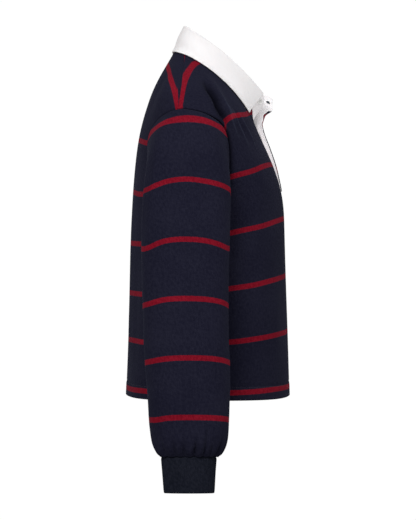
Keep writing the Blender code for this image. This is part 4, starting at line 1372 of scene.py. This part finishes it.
def wave(way, length):
    """A sine wave of a length."""
    return (way * (2 * math.pi / length)).sine()


def knit_height(u, v):
    """Loops of a plain knit: columns of slanting legs."""
    leg = abs((u / WALE).fraction() - 0.5)
    return wave(u, WALE) * 0.5 + wave(v / COURSE + leg * 1.2, 1) * 0.35


def lint(finish, u, v):
    """Soft mottling of brushed cotton, and faint streaks along its columns."""
    cloud = finish.noise(finish.vector(u, v), 230.0, 4.0, 0.62)
    streak = finish.noise(finish.vector(u * 9.0, v), 95.0)
    broad = finish.noise(finish.place(), 17.0)
    return (cloud * 0.5 + streak * 0.28 + broad * 0.22).step(0.36, 0.64)


def jersey_finish():
    """Brushed navy jersey with knitted-in red stripes."""
    made = Finish("jersey_knit")
    u, v = made.both("cloth")
    mottle = lint(made, u, v)
    ragged = made.noise(made.vector(u, v * 0.4), 900.0, 1.0) - 0.5
    number, crowding = made.both("stripes")
    off_stripe = abs((number + 0.5).fraction() - 0.5) * STRIPE_PITCH / crowding
    off_stripe = off_stripe + ragged * STRIPE_RAGGED
    stripe = 1 - off_stripe.step(STRIPE_WIDTH / 2 - STRIPE_EDGE, STRIPE_WIDTH / 2 + STRIPE_EDGE)
    shade, painted_highlight = made.both("shade")
    # painted shade in the deep folds and beside the front armhole
    dark = made.mixed(stripe, FOLD_SHADE_NAVY, FOLD_SHADE_RED)
    # painted highlight along the sharp folds, where light catches their ridges
    pale = made.mixed(stripe, HIGHLIGHT_NAVY, HIGHLIGHT_RED)
    navy, red = made.mixed(mottle, NAVY, NAVY_LIGHT), made.mixed(mottle, RED, RED_LIGHT)
    plain = made.mixed(painted_highlight * HIGHLIGHT_STRENGTH, made.mixed(stripe, navy, red), pale)
    height = knit_height(u, v) * 0.16 + mottle * 0.84
    return made.set(
        Base_Color=made.mixed(shade * FOLD_SHADE_STRENGTH, plain, dark),
        Roughness=0.84 + 0.10 * mottle,
        Sheen_Weight=0.032,
        Sheen_Roughness=0.4,
        Sheen_Tint=(0.54, 0.58, 0.82, 1),
        Specular_IOR_Level=0.006,
        Normal=made.bump(height, 0.00035, 0.55),
    )


def rib_finish():
    """Navy rib knit, a little darker and greener than the jersey."""
    made = Finish("cuff_rib")
    u, v = made.both("cloth")
    mottle = lint(made, u, v)
    return made.set(
        Base_Color=made.mixed(mottle, RIB_DARK, RIB_LIGHT),
        Roughness=0.88 + 0.08 * mottle,
        Sheen_Weight=0.012,
        Sheen_Roughness=0.5,
        Sheen_Tint=(0.60, 0.68, 0.76, 1),
        Specular_IOR_Level=0.006,
        Normal=made.bump(knit_height(u, v) * 0.6 + mottle, 0.0004, 0.6),
    )


def twill_finish(name, white, shade, glow):
    """White cotton twill with its diagonal ribs, and a painted glow that lightens it in shade."""
    made = Finish(name)
    u, v = made.both("cloth")
    ribs = wave(u + v * 0.8, TWILL_RIB)
    slub = made.noise(made.vector(u, v), 420.0, 3.0, 0.55)
    soft = made.noise(made.place(), 24.0, 2.0)
    # painted shade along the collar's fold, nought on the placket
    painted_shade, _ = made.both("shade")
    dimmed = tuple(value * COLLAR_SHADE_SHARE for value in white[:3]) + (1,)
    clean = made.mixed((slub * 0.35 + soft * 0.65).step(0.66, 0.34), white, shade)
    return made.set(
        Base_Color=made.mixed(painted_shade, clean, dimmed),
        Roughness=0.74 + 0.12 * slub,
        Sheen_Weight=0.03,
        Sheen_Roughness=0.4,
        Specular_IOR_Level=0.06,
        Subsurface_Weight=0.45,
        Subsurface_Radius=(0.0040, 0.0036, 0.0034),
        Subsurface_Scale=1.0,
        # painted glow: the twill lights itself
        Emission_Color=white,
        Emission_Strength=glow,
        Normal=made.bump(ribs * 0.3 + slub * 0.7, 0.0002, 0.3),
    )


def thread_finish(name, dark, light):
    """Twisted sewing thread."""
    made = Finish(name)
    twist = made.noise(made.place(), 2600.0, 1.0)
    return made.set(
        Base_Color=made.mixed(twist, dark, light),
        Roughness=0.6 + 0.1 * twist,
        Sheen_Weight=0.01,
        Normal=made.bump(twist, 0.0001, 0.5),
    )


def button_finish():
    """Smooth off-white resin with a faint clouding, and a painted glow that lightens it in shade.
    """
    made = Finish("button_resin")
    cloud = made.noise(made.place(), 320.0, 3.0, 0.55)
    return made.set(
        Base_Color=made.mixed(cloud.step(0.35, 0.7), BUTTON_WHITE, BUTTON_CLOUD),
        Roughness=0.30 + 0.16 * cloud,
        Coat_Weight=0.25,
        Coat_Roughness=0.2,
        # painted glow: the resin lights itself
        Emission_Color=BUTTON_PAINTED_GLOW,
        Emission_Strength=0.22,
        Normal=made.bump(cloud, 0.00008, 0.4),
    )


def overlock_finish():
    """Navy thread looped close together over raw edges."""
    made = Finish("seam_overlock")
    u, v = made.both("cloth")
    loops = wave(u + v * 0.35, OVERLOCK_LOOP) * 0.5 + 0.5
    fuzz = made.noise(made.vector(u, v), 1400.0)
    lit = (loops * 0.7 + fuzz * 0.3).step(0.2, 0.8)
    return made.set(
        Base_Color=made.mixed(lit, NAVY, OVERLOCK_LIGHT),
        Roughness=0.80 + 0.12 * fuzz,
        Specular_IOR_Level=0.02,
        Normal=made.bump(loops, 0.0004, 0.7),
    )


def dark_finish():
    """Shade inside a slit."""
    made = Finish("slit_shade")
    fuzz = made.noise(made.place(), 1500.0)
    return made.set(Base_Color=made.mixed(fuzz, SLIT_DARK, SLIT_LIGHT), Roughness=0.9)


# ---------------------------------------------------------------- repeated details
class GeometryTree(Nodes):
    """A geometry tree with named inputs, which ends with its instances made real."""

    def __init__(self, name, inputs):
        super().__init__(bpy.data.node_groups.new(name, "GeometryNodeTree"))
        face = self.tree.interface
        face.new_socket("Geometry", in_out="INPUT", socket_type="NodeSocketGeometry")
        self.identifiers = {}
        for label, kind in inputs.items():
            made = face.new_socket(label, in_out="INPUT", socket_type="NodeSocket" + kind)
            self.identifiers[label] = made.identifier
        face.new_socket("Geometry", in_out="OUTPUT", socket_type="NodeSocketGeometry")
        self.entry = self.tree.nodes.new("NodeGroupInput")

    def given(self, label="Geometry"):
        return Wire(self, self.entry.outputs[label])

    def end(self, geometry):
        """Makes the geometry real, gives it the tree's material and puts it out."""
        real = self.add("GeometryNodeRealizeInstances", {}, [geometry])
        inputs = {"Geometry": real, "Material": self.given("Material")}
        dressed = self.add("GeometryNodeSetMaterial", {}, inputs)
        self.tree.links.new(dressed.socket, self.tree.nodes.new("NodeGroupOutput").inputs[0])

    def apply(self, obj, name, values):
        """The tree's result on an object, as a plain mesh in a new object."""
        modifier = obj.modifiers.new(name, "NODES")
        modifier.node_group = self.tree
        for label, value in values.items():
            modifier[self.identifiers[label]] = value
        evaluated = obj.evaluated_get(bpy.context.evaluated_depsgraph_get())
        mesh = bpy.data.meshes.new_from_object(evaluated)
        mesh.name = name
        bpy.data.objects.remove(obj)
        return new_object(name, mesh)


def stitch_tree():
    """Thread stitches laid end to end along a line."""
    sizes = dict.fromkeys(("Spacing", "Length", "Thickness"), "Float")
    tree = GeometryTree("stitch_run", {**sizes, "Material": "Material"})
    line = tree.add("GeometryNodeMeshToCurve", {}, [tree.given()])
    spacing = {"Curve": line, "Length": tree.given("Spacing")}
    spaced = tree.add("GeometryNodeResampleCurve", {"mode": "LENGTH"}, spacing)
    tangent = tree.add("GeometryNodeInputTangent")
    turned = tree.add("FunctionNodeAlignRotationToVector", {"axis": "X"}, {"Vector": tangent})
    bead = tree.add("GeometryNodeMeshUVSphere", {}, {"Segments": 6, "Rings": 4, "Radius": 0.5})
    size = [tree.given(label) for label in ("Length", "Thickness", "Thickness")]
    size = tree.add("ShaderNodeCombineXYZ", {}, size)
    stitch = tree.add("GeometryNodeTransform", {}, {"Geometry": bead, "Scale": size})
    placing = {"Points": spaced, "Instance": stitch, "Rotation": turned}
    laid = tree.add("GeometryNodeInstanceOnPoints", {}, placing)
    tree.end(tree.add("GeometryNodeSetShadeSmooth", {}, {"Geometry": laid}))
    return tree


def rib_tree():
    """Ribs raised along a cuff by a stored share of their depth."""
    tree = GeometryTree("raised_ribs", {"Depth": "Float", "Material": "Material"})
    share = tree.add("GeometryNodeInputNamedAttribute", {"data_type": "FLOAT"}, {"Name": "rib"})
    normal = tree.add("GeometryNodeInputNormal")
    amount = share * tree.given("Depth")
    offset = tree.add("ShaderNodeVectorMath", {"operation": "SCALE"}, {0: normal, "Scale": amount})
    moved = tree.add("GeometryNodeSetPosition", {}, {"Geometry": tree.given(), "Offset": offset})
    tree.end(moved)
    return tree


Stitch = namedtuple("Stitch", "pitch length thickness")


def stitched(tree, name, lines, finish, stitch):
    """Stitches along several lines of points, as one piece."""
    points, edges = [], []
    for line in lines:
        start = len(points)
        points += list(line)
        edges += [(start + k, start + k + 1) for k in range(len(line) - 1)]
    guide = new_object(name + "_line", new_mesh(name + "_line", points, edges))
    values = dict(zip(("Spacing", "Length", "Thickness"), stitch), Material=finish)
    return tree.apply(guide, name, values)


# ---------------------------------------------------------------- stitch lines and buttonholes
STITCH_LIFT = 0.00012
TOPSTITCH, WHIPSTITCH = Stitch(0.0030, 0.0023, 0.00045), Stitch(0.0006, 0.0007, 0.0008)
# Distances of the stitch lines in from a placket's edges, the leaf's and the stand's, up from a
# placket's foot to the top of its box, and down from the top of the hem.
EDGE_STITCH, LEAF_STITCH, STAND_STITCH = 0.0020, 0.0050, 0.0025
BOX_STITCH, HEM_STITCH = 0.0140, 0.0012
TAB_ROW = 60  # where the facing's stitches end, below the tab
# Where the open top buttonhole lies in the placket's grid, and the way it runs.
TOP_HOLE, TOP_HOLE_WAY = (88.3, 21.6), (0.733, -0.680)
Hole = namedtuple("Hole", "length open")
OPEN_HOLE, SHUT_HOLE = Hole(0.0078, 0.0036), Hole(0.0140, 0.0006)
# A slit's face and back and its ring of stitches lie this far out from the cloth.
SLIT_TOP, SLIT_BACK, RING_LIFT, SLIT_BULGE = 0.00022, 0.00004, 0.0001, 0.00002
RING_MARGIN, SLIT_BLUNT = 0.0005, 0.15  # between slit and ring, and a slit's least share open


def line_across(points, along, level):
    """The line across a grid's columns where a running length along them has a value."""
    columns = zip(np.swapaxes(points, 0, 1), along.T)
    return np.array([sampled(column, way, [level])[0] for column, way in columns])


def line_along(points, across, level):
    """The line down a grid's rows where a running length across them has a value."""
    return line_across(np.swapaxes(points, 0, 1), across.T, level)


def hem_lines(grid, cloth):
    """The row of stitches that holds a panel's hem."""
    points = grid + grid_normals(grid) * STITCH_LIFT
    return [line_across(points, cloth[..., 1], HEM_HEIGHT - HEM_STITCH)]


def placket_lines(grid, normals, top=-5):
    """Rows of stitches along both edges of a placket, and a box at its foot."""
    points, across, up = grid + normals * STITCH_LIFT, lengths_across(grid), distances(grid)
    sides = EDGE_STITCH, float(np.median(across[:, -1])) - EDGE_STITCH
    edges = [line_along(points, across, level)[2:top] for level in sides]
    box = [line_across(points, up, level)[2:-5] for level in (EDGE_STITCH, BOX_STITCH)]
    return edges + box


def collar_lines(grid, normals):
    """Rows of stitches round the leaf, in from its edges, and along the foot of the stand."""
    points, across, up = grid + normals * STITCH_LIFT, lengths_across(grid), distances(grid)
    fold = grid.shape[0] // 2
    from_right = (across[:, -1:] - across)[:, ::-1]
    ends = [
        line_along(sheet, way, LEAF_STITCH)[fold:-4]
        for sheet, way in ((points, across), (points[:, ::-1], from_right))
    ]
    edge = line_across(points[::-1], (up[-1] - up)[::-1], LEAF_STITCH)
    inside = (across[-1] > LEAF_STITCH) & (across[-1] < across[-1, -1] - LEAF_STITCH)
    return [*ends, edge[inside], line_across(points, up, STAND_STITCH)[3:-3]]


def on_grid(grid, row, column):
    """Points of a grid at fractional rows and columns."""
    row, column = np.broadcast_arrays(row, column)
    low = np.clip(row.astype(int), 0, grid.shape[0] - 2)
    left = np.clip(column.astype(int), 0, grid.shape[1] - 2)
    up, across = (row - low)[..., None], (column - left)[..., None]
    below = grid[low, left] * (1 - across) + grid[low, left + 1] * across
    above = grid[low + 1, left] * (1 - across) + grid[low + 1, left + 1] * across
    return below * (1 - up) + above * up


def buttonhole(tree, name, grid, normals, row, column, way, hole, thread, shade):
    """A whipped buttonhole: a dark slit and a ring of close stitches round it."""
    corner = on_grid(grid, np.array([row, row, row + 1]), np.array([column, column + 1, column]))
    column_step, row_step = (float(np.linalg.norm(corner[k] - corner[0])) for k in (1, 2))

    def laid(along, aside, lift):
        across, up = along * way[0] - aside * way[1], along * way[1] + aside * way[0]
        at = row + up / row_step, column + across / column_step
        return on_grid(grid, *at) + unit(on_grid(normals, *at)) * lift

    along = np.linspace(-0.5, 0.5, 13)
    wide = np.maximum(np.sqrt(1 - (2 * along) ** 2), SLIT_BLUNT) / 2 * hole.open
    along, aside = np.broadcast_arrays(along * hole.length, wide * np.linspace(-1, 1, 5)[:, None])
    top, bottom = (laid(along, aside, lift) for lift in (SLIT_TOP, SLIT_BACK))
    slit = wall(name + "_slit", top, bottom, flat_cloth(top), shade, bulge=SLIT_BULGE)
    turn = np.linspace(0, 2 * math.pi, 49)
    half_length, half_open = hole.length / 2 + RING_MARGIN, hole.open / 2 + RING_MARGIN
    ring = laid(np.cos(turn) * half_length, np.sin(turn) * half_open, RING_LIFT)
    return slit, stitched(tree, name + "_stitches", [ring], thread, WHIPSTITCH)


def nearest_cell(grid, point):
    """The row and column of a grid's point nearest to a point."""
    gaps = np.linalg.norm(grid - point, axis=-1)
    row, column = np.unravel_index(np.argmin(gaps), gaps.shape)
    return float(row), float(column)


# ---------------------------------------------------------------- buttons
# A button's section, from the dished middle of its face round the rim to its back: shares of its
# radius and of its height.
BUTTON_FACE = (0.60, 0.62)
BUTTON_SECTION = (
    BUTTON_FACE, (0.70, 0.96), (0.84, 1.0), (0.96, 0.82), (1.0, 0.5), (0.95, 0.15), (0.80, 0.0),
    (BUTTON_FACE[0], 0.0),
)
# Shares of the radius, but for the thread's, which is of the height. Faces whose middle lies
# within HOLE_CLEAR of a hole's centre are the hole's own and left out.
HOLE_PLACE, HOLE_RADIUS, HOLE_CLEAR, THREAD_HEIGHT = 0.21, 0.115, 0.10, 0.72
HOLES = [(x * HOLE_PLACE, y * HOLE_PLACE) for x, y in ((1, 1), (-1, 1), (-1, -1), (1, -1))]
BUTTON_SIDES, HOLE_SIDES, BUTTON_ANGLE = 32, 10, math.radians(45)
BUTTON_THREAD = Stitch(0.59, 0.62, 0.10)
INSIDE_Y, INSIDE_DROP = 0.05, 0.02  # a point in the shirt: its y, and how far below a button


def circle(centre, radius, sides):
    """Points at equal turns round a centre, in the flat."""
    turn = np.linspace(0, 2 * math.pi, sides, endpoint=False)
    return [(centre[0] + radius * math.cos(a), centre[1] + radius * math.sin(a)) for a in turn]


def button_mesh(name, centre, across, up, out, radius, height):
    """A round four-hole button with a raised rim."""
    points, faces = [], []
    for wide, high in BUTTON_SECTION:
        points += [(x, y, high) for x, y in circle((0, 0), wide, BUTTON_SIDES)]
    for ring in range(len(BUTTON_SECTION) - 1):
        for k in range(BUTTON_SIDES):
            a, b = (ring * BUTTON_SIDES + n % BUTTON_SIDES for n in (k, k + 1))
            faces.append((a, b, b + BUTTON_SIDES, a + BUTTON_SIDES))
    flat, loops = circle((0, 0), BUTTON_FACE[0], BUTTON_SIDES), [list(range(BUTTON_SIDES))]
    for hole in HOLES:
        loops.append(list(range(len(flat), len(flat) + HOLE_SIDES))[::-1])
        flat += circle(hole, HOLE_RADIUS, HOLE_SIDES)
    edges = [(loop[k], loop[(k + 1) % len(loop)]) for loop in loops for k in range(len(loop))]
    found, _, triangles, _, _, _ = delaunay_2d_cdt(flat, edges, [], 1, 1e-6)
    middles = [np.mean([found[k] for k in triangle], axis=0) for triangle in triangles]
    solid = [
        triangle
        for triangle, middle in zip(triangles, middles)
        if min(math.dist(middle, hole) for hole in HOLES) > HOLE_CLEAR
    ]
    starts = []
    for high in (BUTTON_FACE[1], 0.0):
        starts.append(len(points))
        points += [(p[0], p[1], high) for p in found]
        faces += [tuple(starts[-1] + k for k in triangle) for triangle in solid]
    top, bottom = starts
    for loop in loops[1:]:
        for a, b in zip(loop, loop[1:] + loop[:1]):
            faces.append((top + a, top + b, bottom + b, bottom + a))
    placed = [centre + (across * x + up * y) * radius + out * (z * height) for x, y, z in points]
    mesh = new_mesh(name, placed, faces=faces)
    with edited(mesh) as work:
        bmesh.ops.remove_doubles(work, verts=work.verts, dist=1e-6)
    return mesh


def button_place(node):
    """Of a button's solid: its back's centre, the ways across, up and out, radius and height."""
    points = np.array([v.co for v in node.data.vertices], float)
    points = np.unique(points.round(7), axis=0)
    centre = points.mean(axis=0)
    _, _, axes = np.linalg.svd(points - centre)
    from_inside = centre - np.array([0, INSIDE_Y, centre[2] - INSIDE_DROP])
    out = axes[2] * (1 if axes[2] @ from_inside > 0 else -1)
    up = unit(np.array([0, 0, 1.0]) - out * out[2])
    along = (points - centre) @ out
    radius = np.linalg.norm(points - centre - np.outer(along, out), axis=1).max()
    return centre + out * along.min(), np.cross(up, out), up, out, radius, along.max() - along.min()


def buttons(frame, tree, finish, thread):
    """Buttons sewn on with crossed thread, each with its node's name and its place."""
    made = []
    for node in ("button_top", "button_middle", "button_low"):
        centre, across, up, out, radius, height = button_place(frame["nodes"][node])
        mesh = button_mesh(node + "_resin", centre, across, up, out, radius, height)
        disc = finished(node + "_resin", mesh, finish)
        disc.data.set_sharp_from_angle(angle=BUTTON_ANGLE)
        level = centre + out * height * THREAD_HEIGHT
        places = [level + (across * x + up * y) * radius for x, y in HOLES]
        lines = [(places[2], places[0]), (places[1], places[3])]
        size = Stitch(*(share * radius for share in BUTTON_THREAD))
        made.append((disc, stitched(tree, node + "_thread", lines, thread, size), node, centre))
    return made


# ---------------------------------------------------------------- stage
CAMERA_PLACE, CAMERA_LENS = (-3.0, -0.0348, -0.3126), 131.45
LIT_POINT = (0, -0.03, -0.3)
WORLD_LIGHT = 0.50
FLOOR_Z, FLOOR_RADIUS, DOME_RADIUS = -0.95, 1.45, 9.0


def camera():
    """Level with the shirt's middle, looking at the wearer's right side."""
    data = bpy.data.cameras.new("side_camera")
    data.sensor_width, data.lens = 36, CAMERA_LENS
    made = new_object("side_camera", data)
    made.location = CAMERA_PLACE
    made.rotation_euler = (math.radians(90), 0, math.radians(-90))
    bpy.context.scene.camera = made


def area_light(name, place, size, watts):
    """A soft round light that shines on the shirt."""
    data = bpy.data.lights.new(name, "AREA")
    data.shape, data.size, data.energy = "DISK", size, watts
    made = new_object(name, data)
    made.location = place
    way = Vector(LIT_POINT) - Vector(place)
    made.rotation_euler = way.to_track_quat("-Z", "Y").to_euler()


def plain_surface(name, grey, glow):
    """A plain matt finish for the floor and the backdrop, with a light of its own."""
    made = Finish(name)
    grain = made.noise(made.place(), 6.0)
    return made.set(
        Base_Color=made.mixed(grain, (grey - 0.01,) * 3 + (1,), (grey + 0.01,) * 3 + (1,)),
        Roughness=0.9,
        Specular_IOR_Level=0.0,
        Emission_Color=(1, 1, 1, 1),
        Emission_Strength=glow,
    )


def lay_floor(work):
    lowered = Matrix.Translation((0, 0, FLOOR_Z))
    bmesh.ops.create_circle(work, cap_ends=True, segments=96, radius=FLOOR_RADIUS, matrix=lowered)


def raise_dome(work):
    bmesh.ops.create_icosphere(work, subdivisions=4, radius=DOME_RADIUS)
    bmesh.ops.reverse_faces(work, faces=work.faces)


def backdrop():
    """A wide pale floor below the shirt and a white dome all round it that casts no light."""
    for name, shape, finish in (("floor", lay_floor, plain_surface("pale_floor", 0.80, 0.45)),
                                ("dome", raise_dome, plain_surface("white_dome", 0.02, 1.0))):
        mesh = new_mesh(name)
        with edited(mesh) as work:
            shape(work)
        mesh.materials.append(finish)
        made = new_object(name, mesh)
        made.visible_diffuse = made.visible_glossy = made.visible_shadow = False


def studio():
    """White light from all round, two soft lights, the backdrop and the camera."""
    world = bpy.data.worlds.new("studio")
    world.use_nodes = True
    sky = world.node_tree.nodes["Background"].inputs
    sky["Color"].default_value, sky["Strength"].default_value = (1, 1, 1, 1), WORLD_LIGHT
    bpy.context.scene.world = world
    bpy.context.scene.view_settings.view_transform = "Standard"
    area_light("key", (-2.4, 0.6, 1.3), size=1.0, watts=48)
    area_light("top", (-1.2, -1.5, 1.8), size=2.2, watts=20)
    backdrop()
    camera()


# ---------------------------------------------------------------- the shirt
def keep(piece, slot=None, *nodes):
    """Puts a piece on the shirt's one body, in the place of any nodes that it stands for."""
    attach(piece, "root")
    if nodes:
        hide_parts(*nodes)


def build():
    for old in list(bpy.data.objects):
        bpy.data.objects.remove(old)
    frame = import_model()
    jersey, rib = jersey_finish(), rib_finish()
    twill = twill_finish("collar_white_twill", WHITE, WHITE_SHADE, COLLAR_PAINTED_GLOW)
    placket_twill = twill_finish("placket_white_twill", PLACKET_WHITE, PLACKET_SHADE, PLACKET_PAINTED_GLOW)
    white_thread = thread_finish("thread_white", *WHITE_THREAD)
    navy_thread = thread_finish("thread_navy", *NAVY_THREAD)
    grey_thread = thread_finish("thread_grey", *GREY_THREAD)
    overlock, shade, button = overlock_finish(), dark_finish(), button_finish()
    stitches, ribs = stitch_tree(), rib_tree()
    studio()

    front, front_grid, front_cloth = front_panel(jersey)
    back, back_grid, back_cloth = back_panel(jersey)
    keep(front, "jersey", "front")
    keep(back, "jersey", "back")
    for side, name in ((1, "left"), (-1, "right")):
        tube, sleeve_inner = sleeve(side, name, jersey)
        keep(tube, "jersey", "sleeve_" + name)
        plain, cuff_inner = cuff_wall(side, name, rib)
        ribbed = ribs.apply(plain, "cuff_" + name + "_rib", {"Depth": RIB_DEPTH, "Material": rib})
        keep(ribbed, "rib", "cuff_" + name)
        for strip in seam_allowances(side, name, sleeve_inner, cuff_inner, overlock):
            keep(strip)
    over, facing, under, placket_grids = plackets(jersey, placket_twill)
    keep(over, "jersey", "placket_over")
    keep(facing, "twill", "placket_facing")
    keep(under, "twill", "placket_under")
    turned, collar_face = collar(twill)
    keep(turned, "twill", "collar")

    for name, lines, thread in (
        ("hem_front", hem_lines(front_grid, front_cloth), navy_thread),
        ("hem_back", hem_lines(back_grid, back_cloth), navy_thread),
        ("placket_outer", placket_lines(*placket_grids["over"]), navy_thread),
        ("placket_inner", placket_lines(*placket_grids["facing"], TAB_ROW), grey_thread),
        ("placket_lower", placket_lines(*placket_grids["under"]), white_thread),
        ("collar", collar_lines(*collar_face), white_thread),
    ):
        keep(stitched(stitches, "stitches_" + name, lines, thread, TOPSTITCH))
    places = {"top": (TOP_HOLE, TOP_HOLE_WAY, OPEN_HOLE)}
    for piece, sewing, node, centre in buttons(frame, stitches, button, white_thread):
        keep(piece, "button", node)
        keep(sewing)
        if node != "button_top":
            at = nearest_cell(placket_grids["over"][0], centre)
            places[node[len("button_"):]] = (at, (0.0, 1.0), SHUT_HOLE)
    for label, (at, way, hole) in places.items():
        for face, thread in (("over", navy_thread), ("facing", white_thread)):
            name = "buttonhole_" + label + "_" + face
            grid, normals = placket_grids[face]
            for piece in buttonhole(stitches, name, grid, normals, *at, way, hole, thread, shade):
                keep(piece)


build()
